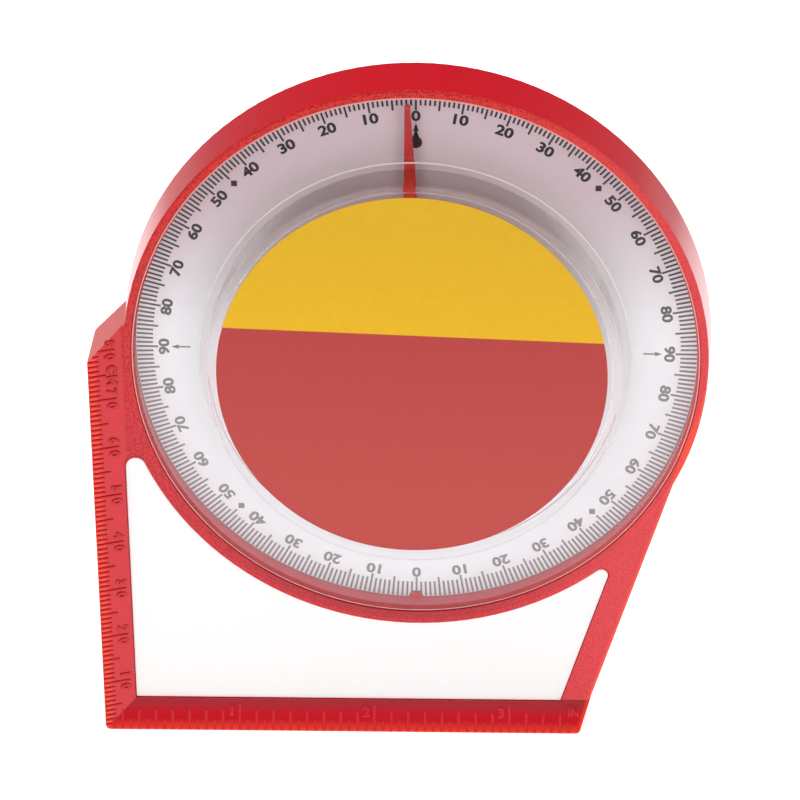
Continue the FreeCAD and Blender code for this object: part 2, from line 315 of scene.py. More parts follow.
def lathe(corners: list[Corner], segments: int, place: Vector) -> BMesh:
    """Turn a closed profile round an axis along Y.

    Args:
        corners: The profile, first and last corner on the axis.
        segments: How many faces go round.
        place: Where the axis is, in metres.

    Returns:
        The solid, in metres.
    """
    profile = []
    for index, corner in enumerate(corners):
        before, after = corners[index - 1], corners[(index + 1) % len(corners)]
        profile += corner.points(before, after)
    solid = bmesh.new()
    rings = []
    for radius, y in profile:
        if radius == 0:
            rings.append([solid.verts.new((0, y * MM, 0))] * segments)
            continue
        angles = [2 * math.pi * step / segments for step in range(segments)]
        spots = [(radius * MM * math.cos(a), y * MM, radius * MM * math.sin(a)) for a in angles]
        rings.append([solid.verts.new(spot) for spot in spots])
    for ring, onward in zip(rings, rings[1:]):
        for step in range(segments):
            after = (step + 1) % segments
            around = dict.fromkeys((ring[step], ring[after], onward[after], onward[step]))
            solid.faces.new(tuple(around))
    bmesh.ops.recalc_face_normals(solid, faces=solid.faces)
    solid.transform(Matrix.Translation(place))
    return solid


def piece_from(name: str, solid: BMesh, place: Matrix, material: Material) -> Object:
    """Turn a finished solid into an object of the scene, with its place in its mesh.

    Args:
        name: The piece's name.
        solid: Its shape, which is freed.
        place: Where it goes in the shared frame.
        material: Its finish.

    Returns:
        The new object.
    """
    solid.transform(place)
    mesh = bpy.data.meshes.new(name)
    solid.to_mesh(mesh)
    solid.free()
    mesh.materials.append(material)
    piece = bpy.data.objects.new(name, mesh)
    bpy.context.scene.collection.objects.link(piece)
    return piece


def smooth(piece: Object, sharp_deg: float) -> None:
    """Shade a piece smoothly, but keep its edges above an angle sharp."""
    piece.data.shade_smooth()
    piece.data.set_sharp_from_angle(angle=math.radians(sharp_deg))


def dress(node: str, material: Material) -> None:
    """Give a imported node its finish.

    Args:
        node: The node's name.
        material: Its finish.
    """
    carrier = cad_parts[node]
    if not carrier.material_slots:
        carrier.data.materials.append(material)
    for slot in carrier.material_slots:
        slot.material = material
    logger.info("dressed %s in %s", node, material.name)


def settle(piece: Object) -> None:
    """Let a finished piece ride on the case and say so.

    Args:
        piece: The finished piece.
    """
    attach(piece, CASE_BODY)
    logger.info("%s rides on the %s, %d faces", piece.name, CASE_BODY, len(piece.data.polygons))


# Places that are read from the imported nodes


@dataclass(frozen=True)
class Datum:
    """Places in millimetres that the pieces are set out from.

    Attributes:
        axis_x: Middle of the drum, left to right.
        axis_z: Height of the drum's axis.
        left_x: The case's left edge.
        crest_y: The case's front, along the strips' outer edges.
        dial_y: The dial plate's front.
        boss_y: The lens's front.
        lens_back_y: The lens's back.
        lens_radius: The lens's outer radius.
        label_x: Middle of the round label, left to right.
        rim_setback: How far the drum's rim lies behind the strips' crest.
        base_length: Length of the base.
        strut_lean_deg: How far the strut leans from upright.
        strip_width: Width of the sloping strips along the left side and the base.
    """

    axis_x: float
    axis_z: float
    left_x: float
    crest_y: float
    dial_y: float
    boss_y: float
    lens_back_y: float
    lens_radius: float
    label_x: float
    rim_setback: float = 2.05
    base_length: float = 89.3
    strut_lean_deg: float = 18.23
    strip_width: float = 6.1

    @classmethod
    def read(cls) -> "Datum":
        """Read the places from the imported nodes' boxes.

        Returns:
            The places.
        """
        arbor_low, arbor_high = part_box("arbor")
        label_low, label_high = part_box("front_label")
        lens_low, lens_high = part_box("lens")
        axis = (arbor_low + arbor_high) / 2 / MM
        return cls(
            axis_x=axis.x,
            axis_z=axis.z,
            left_x=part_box("housing")[0].x / MM,
            crest_y=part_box("housing")[0].y / MM,
            dial_y=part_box("dial_plate")[0].y / MM,
            boss_y=lens_low.y / MM,
            lens_back_y=lens_high.y / MM,
            lens_radius=(lens_high.x - lens_low.x) / 2 / MM,
            label_x=(label_low.x + label_high.x) / 2 / MM,
        )

    @property
    def rim_y(self) -> float:
        """The drum's front."""
        return self.crest_y + self.rim_setback

    def on_dial(self, turn_degrees: float) -> Matrix:
        """The dial's own plane: X to the right, Y up, Z towards the viewer.

        Args:
            turn_degrees: How far it is turned clockwise.

        Returns:
            Its place in the shared frame.
        """
        place = Vector((self.axis_x, self.dial_y, self.axis_z)) * MM
        face = Matrix.Rotation(math.pi / 2, 4, "X")
        return Matrix.Translation(place) @ face @ turned_about(0, turn_degrees)


# Finishes


@dataclass(frozen=True)
class Finish:
    """A surface finish that builds its own material.

    Attributes:
        name: What the real material is called.
    """

    name: str

    def material(self) -> Material:
        """Build the material from the finish's shader.

        Returns:
            The material.
        """
        made = bpy.data.materials.new(self.name)
        made.use_nodes = True
        made.node_tree.nodes.clear()
        surface = self.shader(made.node_tree)
        add_node(made.node_tree, "ShaderNodeOutputMaterial", {"Surface": surface})
        return made

    def shader(self, tree: NodeTree) -> NodeSocket:
        """Add the finish's nodes and return the socket that goes to the surface."""
        raise NotImplementedError


@dataclass(frozen=True)
class MouldedPlastic(Finish):
    """Injection-moulded red ABS of the case.

    The flats that face the viewer are spark-eroded and show fine grains; strips and
    sides are polished. A painted orange glow on the slender outer edges and the sloped
    corner stands for light getting into them; the flats carry painted light towards the
    right, the rim painted light at its top and painted shade at its foot, and the base
    strip's upper half painted shade. Lengths are in millimetres, and the rim's heights
    are counted from the drum's axis.

    Attributes:
        datum: Places of the case.
        colour: The plastic's own red.
        shade: The same red where the flow of the melt darkened it.
        flow: Width of those slow changes.
        pit: The red in the pits of the grain, also used for painted shade at the rim's foot.
        speck: The red on the grain's tops, also used for painted light on the flats towards the
            right.
        glow: The orange painted glow of the lit edges and the sloped corner.
        rim_glow: The orange painted light on the rim's top.
        dull: The greyer red painted as shade on the base strip's upper half.
        ior: How strongly the plastic bends light.
        gloss_roughness: Roughness of the polished faces.
        grain_roughness: Roughness of the eroded faces.
        grain: Width of one grain.
        grain_height: Height of one grain.
        pits: The pits, by the noise that draws the grain.
        specks: The grain's tops, by the same noise.
        flat_facing: How much a face counts as a front flat, by its normal's Y.
        turned_ahead: How much it counts as turned to the viewer, by the same.
        rim_radii: The rim's inner and outer radius.
        rim_reach: How far the rim's rounded edges lie from its plane.
        rim_crown: The painted light on the rim's top, by height.
        rim_foot: The painted shade at its foot, by height.
        lit: The painted light on the flats, by place left to right.
        calm: How much of the pits is left, by how much painted light the flat has.
        corner_glow: The painted glow of the sloped corner, by its normal's X times Z.
        corner_reach: The same painted glow, by distance from the left edge.
        side_glow: The painted glow of the edges, by distance from the left edge.
        edge_glow: The same painted glow, by distance from the base.
        strut_fading: How much faster the glow fades from the strut than from the base.
        dull_rise: The painted shade on the base strip, by height.
    """

    datum: Datum
    colour: str = "#DC1628"
    shade: str = "#D21225"
    flow: float = 26.0
    pit: str = "#9C0A1C"
    speck: str = "#F04C50"
    glow: str = "#FF4526"
    rim_glow: str = "#E02412"
    dull: str = "#A8373C"
    ior: float = 1.5
    gloss_roughness: float = 0.2
    grain_roughness: float = 0.4
    grain: float = 0.3  # a real eroded grain is about 0.1 mm, drawn coarser so that it shows
    grain_height: float = 0.035
    pits: Ramp = Ramp(0.52, 0.36)
    specks: Ramp = Ramp(0.52, 0.66, most=0.35)
    flat_facing: Ramp = Ramp(-0.96, -0.99)
    turned_ahead: Ramp = Ramp(-0.3, -0.6)
    rim_radii: tuple[float, float] = (51.5, 53.1)
    rim_reach: float = 0.4
    rim_crown: Ramp = Ramp(-40.0, 45.0, most=0.8)
    rim_foot: Ramp = Ramp(-15.0, -50.0, most=0.7)
    lit: Ramp = Ramp(5.0, 45.0, most=0.5)
    calm: Ramp = Ramp(0.0, 0.7, most=0.1, least=1.0)
    corner_glow: Ramp = Ramp(-0.3, -0.45, most=0.5)
    corner_reach: Ramp = Ramp(20.0, 10.0)
    side_glow: Ramp = Ramp(2.3, 0.805, most=0.92)
    edge_glow: Ramp = Ramp(2.2, 0.44, most=0.8)
    strut_fading: float = 2.0
    dull_rise: Ramp = Ramp(2.6, 5.9, most=0.9)

    def shader(self, tree: NodeTree) -> NodeSocket:
        """Lay the reds over each other, and keep the grain to the front flats.

        Args:
            tree: The material's tree.

        Returns:
            The shader.
        """
        add = partial(add_node, tree)
        place = add("ShaderNodeTexCoord").outputs
        spot = place["Object"]
        normal = add("ShaderNodeSeparateXYZ", {0: place["Normal"]}).outputs
        rim = self.rim_share(tree, spot)
        flat = add("ShaderNodeMapRange", self.flat_facing.over(normal["Y"])).outputs[0]
        eroded = add("ShaderNodeMath", {0: flat, 1: rim}, operation="MAXIMUM").outputs[0]
        fine = {"Vector": spot, "Scale": per_metre(self.grain), "Detail": 2.0, "Roughness": 0.6}
        grain = add("ShaderNodeTexNoise", fine).outputs[0]
        flow = add("ShaderNodeTexNoise", {"Vector": spot, "Scale": per_metre(self.flow)}).outputs[0]
        reds = {0: flow, 6: linear(self.shade), 7: linear(self.colour)}
        red = add("ShaderNodeMix", reds, data_type="RGBA").outputs[2]
        crown, foot = self.rim_tones(tree, spot, rim)
        lit = self.lit_flats(tree, spot, eroded)
        pits, specks = self.grain_shares(tree, grain, eroded, lit, foot)
        glow, dull = self.edge_shares(tree, spot, normal["Y"])
        # Real grain colours and painted light, shade and glow are layered in this stack
        layers = (
            (crown, self.rim_glow),
            (lit, self.speck),
            (pits, self.pit),
            (specks, self.speck),
            (self.sloped_corner(tree, spot, normal), self.glow),
            (dull, self.dull),
            (glow, self.glow),
        )
        for share, tone in layers:
            over = {0: share, 6: red, 7: linear(tone)}
            red = add("ShaderNodeMix", over, data_type="RGBA").outputs[2]
        ends = {"Value": eroded, "To Min": self.gloss_roughness, "To Max": self.grain_roughness}
        roughness = add("ShaderNodeMapRange", ends).outputs[0]
        relief = add("ShaderNodeMath", {0: grain, 1: eroded}, operation="MULTIPLY").outputs[0]
        raised = {"Distance": self.grain_height * MM, "Height": relief}
        bump = add("ShaderNodeBump", raised).outputs[0]
        inputs = {"Base Color": red, "Roughness": roughness, "IOR": self.ior, "Normal": bump}
        return add("ShaderNodeBsdfPrincipled", inputs).outputs[0]

    def rim_share(self, tree: NodeTree, spot: NodeSocket) -> NodeSocket:
        """One on the drum's rim and its rounded edges, else nothing.

        Args:
            tree: The material's tree.
            spot: The point.

        Returns:
            The share.
        """
        add = partial(add_node, tree)
        centre = (self.datum.axis_x * MM, 0.0, self.datum.axis_z * MM)
        offset = add("ShaderNodeVectorMath", {0: spot, 1: centre}, operation="SUBTRACT").outputs[0]
        flattened = {0: offset, 1: (1.0, 0.0, 1.0)}
        across = add("ShaderNodeVectorMath", flattened, operation="MULTIPLY").outputs[0]
        radius = add("ShaderNodeVectorMath", {0: across}, operation="LENGTH").outputs["Value"]
        inner, edge = self.rim_radii
        band = {0: radius, 1: (inner + edge) / 2 * MM, 2: (edge - inner) / 2 * MM}
        on_band = add("ShaderNodeMath", band, operation="COMPARE").outputs[0]
        y = add("ShaderNodeSeparateXYZ", {0: spot}).outputs["Y"]
        depth = {0: y, 1: self.datum.rim_y * MM, 2: self.rim_reach * MM}
        on_rim = add("ShaderNodeMath", depth, operation="COMPARE").outputs[0]
        return add("ShaderNodeMath", {0: on_band, 1: on_rim}, operation="MULTIPLY").outputs[0]

    def rim_tones(
        self, tree: NodeTree, spot: NodeSocket, rim: NodeSocket
    ) -> tuple[NodeSocket, NodeSocket]:
        """How much painted light the rim has towards its top, and how much painted shade towards
        its foot.

        Args:
            tree: The material's tree.
            spot: The point.
            rim: One on the rim.

        Returns:
            A share of painted light and a share of painted shade.
        """
        add = partial(add_node, tree)
        z = add("ShaderNodeSeparateXYZ", {0: spot}).outputs["Z"]
        shares = []
        for ramp in (self.rim_crown, self.rim_foot):
            climb = add("ShaderNodeMapRange", ramp.over(z, MM, self.datum.axis_z)).outputs[0]
            share = add("ShaderNodeMath", {0: climb, 1: rim}, operation="MULTIPLY").outputs[0]
            shares.append(share)
        return shares[0], shares[1]

    def lit_flats(self, tree: NodeTree, spot: NodeSocket, eroded: NodeSocket) -> NodeSocket:
        """How much painted light lightens the front flats towards the right.

        Args:
            tree: The material's tree.
            spot: The point.
            eroded: One on the front flats.

        Returns:
            The share.
        """
        add = partial(add_node, tree)
        x = add("ShaderNodeSeparateXYZ", {0: spot}).outputs["X"]
        lit = self.lit.over(x, MM)
        lit = add("ShaderNodeMapRange", lit, interpolation_type="SMOOTHSTEP").outputs[0]
        return add("ShaderNodeMath", {0: lit, 1: eroded}, operation="MULTIPLY").outputs[0]

    def grain_shares(
        self,
        tree: NodeTree,
        grain: NodeSocket,
        eroded: NodeSocket,
        lit: NodeSocket,
        foot: NodeSocket,
    ) -> tuple[NodeSocket, NodeSocket]:
        """Where the grain's pits and its tops show, with the rim's painted shade added to the pits.

        Args:
            tree: The material's tree.
            grain: The grain's noise.
            eroded: One on the front flats.
            lit: How much painted light a flat has.
            foot: How much painted shade the rim's foot has.

        Returns:
            A share of pits and painted shade, and a share of tops.
        """
        add = partial(add_node, tree)
        ramps = (self.pits, self.specks)
        pits, specks = [add("ShaderNodeMapRange", ramp.over(grain)).outputs[0] for ramp in ramps]
        pits = add("ShaderNodeMath", {0: pits, 1: foot}, operation="MAXIMUM").outputs[0]
        calm = add("ShaderNodeMapRange", self.calm.over(lit)).outputs[0]
        pits = add("ShaderNodeMath", {0: pits, 1: calm}, operation="MULTIPLY").outputs[0]
        pits, specks = [
            add("ShaderNodeMath", {0: share, 1: eroded}, operation="MULTIPLY").outputs[0]
            for share in (pits, specks)
        ]
        return pits, specks

    def sloped_corner(self, tree: NodeTree, spot: NodeSocket, normal: NodeOutputs) -> NodeSocket:
        """How strongly the sloped face at the upper left glows with painted light.

        Args:
            tree: The material's tree.
            spot: The point.
            normal: The surface's direction, split into X, Y and Z.

        Returns:
            The share.
        """
        add = partial(add_node, tree)
        slope = {0: normal["X"], 1: normal["Z"]}
        slope = add("ShaderNodeMath", slope, operation="MULTIPLY").outputs[0]
        sloped = add("ShaderNodeMapRange", self.corner_glow.over(slope)).outputs[0]
        x = add("ShaderNodeSeparateXYZ", {0: spot}).outputs["X"]
        near = self.corner_reach.over(x, MM, self.datum.left_x)
        near = add("ShaderNodeMapRange", near).outputs[0]
        return add("ShaderNodeMath", {0: sloped, 1: near}, operation="MULTIPLY").outputs[0]

    def edge_shares(
        self, tree: NodeTree, spot: NodeSocket, facing: NodeSocket
    ) -> tuple[NodeSocket, NodeSocket]:
        """How strongly the outer edges glow with painted light, and how much painted shade lies on
        the base strip.

        Args:
            tree: The material's tree.
            spot: The point.
            facing: The normal's Y, which is minus one on the front flats.

        Returns:
            A share of painted glow and a share of painted shade.
        """
        add = partial(add_node, tree)
        datum = self.datum
        x, _, z = add("ShaderNodeSeparateXYZ", {0: spot}).outputs
        left = add("ShaderNodeMath", {0: x, 1: datum.left_x * MM}, operation="SUBTRACT").outputs[0]
        lean = math.tan(math.radians(datum.strut_lean_deg))
        strut_line = {0: z, 1: lean, 2: (datum.left_x + datum.base_length) * MM}
        strut_x = add("ShaderNodeMath", strut_line, operation="MULTIPLY_ADD").outputs[0]
        right = add("ShaderNodeMath", {0: strut_x, 1: x}, operation="SUBTRACT").outputs[0]
        faster = {0: right, 1: self.strut_fading}
        right = add("ShaderNodeMath", faster, operation="MULTIPLY").outputs[0]
        outer = add("ShaderNodeMath", {0: right, 1: z}, operation="MINIMUM").outputs[0]
        ramps = (
            self.side_glow.over(left, MM),
            self.edge_glow.over(outer, MM),
            self.dull_rise.over(z, MM),
        )
        side, edge, dull = [
            add("ShaderNodeMapRange", ramp, interpolation_type="SMOOTHSTEP").outputs[0]
            for ramp in ramps
        ]
        both = add("ShaderNodeMath", {0: side, 1: edge}, operation="MAXIMUM").outputs[0]
        front = add("ShaderNodeMapRange", self.turned_ahead.over(facing)).outputs[0]
        glow = add("ShaderNodeMath", {0: both, 1: front}, operation="MULTIPLY").outputs[0]
        mitre = add("ShaderNodeMath", {0: left, 1: z}, operation="GREATER_THAN").outputs[0]
        below = {0: z, 1: datum.strip_width * MM}
        below = add("ShaderNodeMath", below, operation="LESS_THAN").outputs[0]
        for part in (mitre, below, front):
            dull = add("ShaderNodeMath", {0: dull, 1: part}, operation="MULTIPLY").outputs[0]
        return glow, dull


@dataclass(frozen=True)
class ClearPlastic(Finish):
    """Clear moulded acrylic: it bends what is behind it and mirrors the white floor.

    Attributes:
        ior: How strongly it bends light.
        roughness: Roughness of its polished faces.
        tint: The faint colour of light that has passed through.
        ripple: Width of the slow waves left by moulding, in millimetres.
        ripple_height: Height of those waves, in millimetres.
        haze: How much of it is diffuse white, which on the boss's root is a painted highlight.
        steep_facing: How much a wall counts as steep, by its normal's Y.
        steep_share: How much of the light goes straight through a steep wall.
        side_facing: How much it counts as facing left or right, by its normal's X.
        side_share: How much of the light goes straight through such a wall.
        side_haze: How much of the rest is diffuse white at the sides, a painted reflection of the
            bright surroundings.
        trapped_turns: How often light turns inside before it is let out.
    """

    ior: float = 1.49
    roughness: float = 0.02
    tint: str = "#FCFAFB"
    ripple: float = 9.0
    ripple_height: float = 0.004
    haze: float = 0.0
    steep_facing: Ramp = Ramp(0.5, 0.35)
    steep_share: float = 0.93
    side_facing: Ramp = Ramp(0.6, 0.95)
    side_share: float = 0.55
    side_haze: float = 0.85
    trapped_turns: float = 3.5

    def shader(self, tree: NodeTree) -> NodeSocket:
        """Let lamp light and bounced light straight through, and bend the rest.

        Args:
            tree: The material's tree.

        Returns:
            The shader.
        """
        add = partial(add_node, tree)
        place, facing = [add("ShaderNodeTexCoord").outputs[name] for name in ("Object", "Normal")]
        normal = add("ShaderNodeSeparateXYZ", {0: facing}).outputs
        across, along = [
            add("ShaderNodeMath", {0: normal[axis]}, operation="ABSOLUTE").outputs[0]
            for axis in ("X", "Y")
        ]
        sides = self.side_facing.over(across)
        painted_white_share = sides | {"To Min": self.haze, "To Max": self.side_haze}
        painted_white_share = add("ShaderNodeMapRange", painted_white_share).outputs[0]
        straight = sides | {"To Min": self.steep_share, "To Max": self.side_share}
        straight = add("ShaderNodeMapRange", straight).outputs[0]
        steep = self.steep_facing.over(along) | {"To Max": straight}
        steep = add("ShaderNodeMapRange", steep).outputs[0]
        path = add("ShaderNodeLightPath").outputs
        trapped = {0: path["Ray Depth"], 1: self.trapped_turns}
        through = add("ShaderNodeMath", trapped, operation="GREATER_THAN").outputs[0]
        for share in (path["Is Shadow Ray"], path["Is Diffuse Ray"], steep):
            through = add("ShaderNodeMath", {0: through, 1: share}, operation="MAXIMUM").outputs[0]
        waves = {"Vector": place, "Scale": per_metre(self.ripple), "Detail": 1.0}
        ripple = add("ShaderNodeTexNoise", waves).outputs[0]
        raised = {"Distance": self.ripple_height * MM, "Height": ripple}
        inputs = {
            "Base Color": linear(self.tint),
            "Roughness": self.roughness,
            "IOR": self.ior,
            "Transmission Weight": 1.0,
            "Normal": add("ShaderNodeBump", raised).outputs[0],
        }
        glass = add("ShaderNodeBsdfPrincipled", inputs).outputs[0]
        # diffuse white: painted reflection on the side walls, painted highlight on the boss's root
        painted_white = add("ShaderNodeBsdfDiffuse", {"Color": linear(self.tint)}).outputs[0]
        glass = add("ShaderNodeMixShader", {0: painted_white_share, 1: glass, 2: painted_white}).outputs[0]
        clear = add("ShaderNodeBsdfTransparent", {"Color": linear(self.tint)}).outputs[0]
        return add("ShaderNodeMixShader", {0: through, 1: glass, 2: clear}).outputs[0]


@dataclass(frozen=True)
class TwoInkFilm(Finish):
    """Screen-printed film in two flat inks under a satin varnish.

    Attributes:
        datum: Places of the case.
        upper: Ink of the upper part.
        upper_foot: The same ink, brighter, towards the join.
        lower: Ink of the lower part.
        lower_foot: The same ink towards its foot.
        join_rise: How far the join lies above the label's middle, in millimetres.
        join_tilt_deg: How far the join falls to the right.
        join_blur: How far the inks run into each other, in millimetres.
        upper_reach: Height over which the upper ink changes, in millimetres.
        lower_reach: The same for the lower ink.
        speckle: Width of the ink's fine unevenness, in millimetres.
        brightness: Brightness where the ink is thickest and where it is thinnest.
        roughness: Its smoothest and roughest places.
        specular: How strongly the varnish mirrors.
    """

    datum: Datum
    upper: str = "#E1B018"
    upper_foot: str = "#EAB60E"
    lower: str = "#B93F3C"
    lower_foot: str = "#C14842"
    join_rise: float = 8.4
    join_tilt_deg: float = 2.3
    join_blur: float = 0.04
    upper_reach: float = 20.0
    lower_reach: float = 35.0
    speckle: float = 1.2
    brightness: tuple[float, float] = (0.96, 1.04)
    roughness: tuple[float, float] = (0.3, 0.42)
    specular: float = 0.3

    def shader(self, tree: NodeTree) -> NodeSocket:
        """Choose the ink by the side of the join that a point lies on.

        Args:
            tree: The material's tree.

        Returns:
            The shader.
        """
        add = partial(add_node, tree)
        place = add("ShaderNodeTexCoord").outputs["Object"]
        tilt = math.radians(self.join_tilt_deg)
        upward = {0: place, 1: (math.sin(tilt), 0.0, math.cos(tilt))}
        height = add("ShaderNodeVectorMath", upward, operation="DOT_PRODUCT").outputs["Value"]
        join_z = self.datum.axis_z + self.join_rise
        join = join_z * math.cos(tilt) + self.datum.label_x * math.sin(tilt)
        ramps = (
            Ramp(-self.join_blur, self.join_blur),
            Ramp(self.upper_reach, 0.0),
            Ramp(0.0, -self.lower_reach),
        )
        above, fade, sink = [
            add("ShaderNodeMapRange", ramp.over(height, MM, join)).outputs[0] for ramp in ramps
        ]
        inks = (
            (sink, linear(self.lower), linear(self.lower_foot)),
            (fade, linear(self.upper), linear(self.upper_foot)),
        )
        brick, yellow = [
            add("ShaderNodeMix", {0: share, 6: ink, 7: foot}, data_type="RGBA").outputs[2]
            for share, ink, foot in inks
        ]
        ink = add("ShaderNodeMix", {0: above, 6: brick, 7: yellow}, data_type="RGBA").outputs[2]
        fine = {"Vector": place, "Scale": per_metre(self.speckle), "Detail": 4.0}
        speckle = add("ShaderNodeTexNoise", fine).outputs[0]
        value, rough = [
            add("ShaderNodeMapRange", {"Value": speckle, "To Min": low, "To Max": high}).outputs[0]
            for low, high in (self.brightness, self.roughness)
        ]
        uneven = add("ShaderNodeHueSaturation", {"Color": ink, "Value": value}).outputs[0]
        inputs = {"Base Color": uneven, "Roughness": rough, "Specular IOR Level": self.specular}
        return add("ShaderNodeBsdfPrincipled", inputs).outputs[0]


@dataclass(frozen=True)
class SpeckledFinish(Finish):
    """A surface whose colour and roughness change a little over a fine noise.

    Attributes:
        light: Its lighter colour.
        dark: Its darker colour.
        grain: Width of the pattern, in millimetres.
        stretch: How much longer the pattern is along X, Y and Z.
        roughness: Its smoothest and roughest places.
        relief: Height of the pattern, in millimetres.
        metallic: One for bare metal.
        specular: How strongly its coat mirrors.
        far_tone: A third colour, which takes over towards one end; on the pointer it is painted
            light and on the dial painted shade.
        far_rise: How it takes over, by height in millimetres.
        far_zero: The height that this is counted from.
    """

    light: str
    dark: str
    grain: float
    stretch: tuple[float, float, float] = (1.0, 1.0, 1.0)
    roughness: tuple[float, float] = (0.4, 0.6)
    relief: float = 0.005
    metallic: float = 0.0
    specular: float = 0.5
    far_tone: str | None = None
    far_rise: Ramp = Ramp(0.0, 1.0)
    far_zero: float = 0.0

    def shader(self, tree: NodeTree) -> NodeSocket:
        """Drive colour, roughness and bump from one noise.

        Args:
            tree: The material's tree.

        Returns:
            The shader.
        """
        add = partial(add_node, tree)
        place = add("ShaderNodeTexCoord").outputs["Object"]
        shrink = tuple(1 / share for share in self.stretch)
        drawn = add("ShaderNodeMapping", {"Vector": place, "Scale": shrink}).outputs[0]
        fine = {"Vector": drawn, "Scale": per_metre(self.grain), "Detail": 4.0, "Roughness": 0.55}
        noise = add("ShaderNodeTexNoise", fine).outputs[0]
        tones = {0: noise, 6: linear(self.dark), 7: linear(self.light)}
        colour = add("ShaderNodeMix", tones, data_type="RGBA").outputs[2]
        if self.far_tone is not None:
            height = add("ShaderNodeSeparateXYZ", {0: place}).outputs["Z"]
            rise = self.far_rise.over(height, MM, self.far_zero)
            share = add("ShaderNodeMapRange", rise, interpolation_type="SMOOTHSTEP").outputs[0]
            blend = {0: share, 6: colour, 7: linear(self.far_tone)}
            colour = add("ShaderNodeMix", blend, data_type="RGBA").outputs[2]
        smoothest, roughest = self.roughness
        rough = {"Value": noise, "To Min": smoothest, "To Max": roughest}
        rough = add("ShaderNodeMapRange", rough).outputs[0]
        bump = add("ShaderNodeBump", {"Distance": self.relief * MM, "Height": noise}).outputs[0]
        inputs = {
            "Base Color": colour,
            "Roughness": rough,
            "Metallic": self.metallic,
            "Specular IOR Level": self.specular,
            "Normal": bump,
        }
        return add("ShaderNodeBsdfPrincipled", inputs).outputs[0]


@dataclass(frozen=True)
class ScreenInk(Finish):
    """Screen-printed black ink, greyed towards the foot of the dial by painted reflection of the
    white floor in the lens.

    Attributes:
        datum: Places of the case.
        full: The ink where no painted reflection greys it.
        thin: The ink greyed by painted reflection.
        reach: Height over which the painted reflection comes in, in millimetres.
        speckle: Width of the pinholes in the print, in millimetres.
        wear: How much the pinholes change the ink's thickness.
        roughness: Roughness of the dried ink.
    """

    datum: Datum
    full: str = "#211B1F"
    thin: str = "#827F83"
    reach: float = 38.0
    speckle: float = 0.3  # real pinholes are about 0.1 mm, drawn coarser so that they show
    wear: float = 0.12
    roughness: float = 0.55

    def shader(self, tree: NodeTree) -> NodeSocket:
        """Blend the full ink into its painted reflection by height, and speckle both.

        Args:
            tree: The material's tree.

        Returns:
            The shader.
        """
        add = partial(add_node, tree)
        place = add("ShaderNodeTexCoord").outputs["Object"]
        height = add("ShaderNodeSeparateXYZ", {0: place}).outputs["Z"]
        # painted reflection greys the ink towards the foot of the dial
        fall = Ramp(self.reach / 2, -self.reach / 2).over(height, MM, self.datum.axis_z)
        painted_veil = add("ShaderNodeMapRange", fall, interpolation_type="SMOOTHSTEP").outputs[0]
        fine = {"Vector": place, "Scale": per_metre(self.speckle), "Detail": 2.0}
        speckle = add("ShaderNodeTexNoise", fine).outputs[0]
        worn = {"Value": speckle, "To Min": -self.wear, "To Max": self.wear}
        share = {0: painted_veil, 1: add("ShaderNodeMapRange", worn).outputs[0]}
        share = add("ShaderNodeMath", share, operation="ADD", use_clamp=True).outputs[0]
        tones = {0: share, 6: linear(self.full), 7: linear(self.thin)}
        colour = add("ShaderNodeMix", tones, data_type="RGBA").outputs[2]
        inputs = {"Base Color": colour, "Roughness": self.roughness}
        return add("ShaderNodeBsdfPrincipled", inputs).outputs[0]


# Graduations


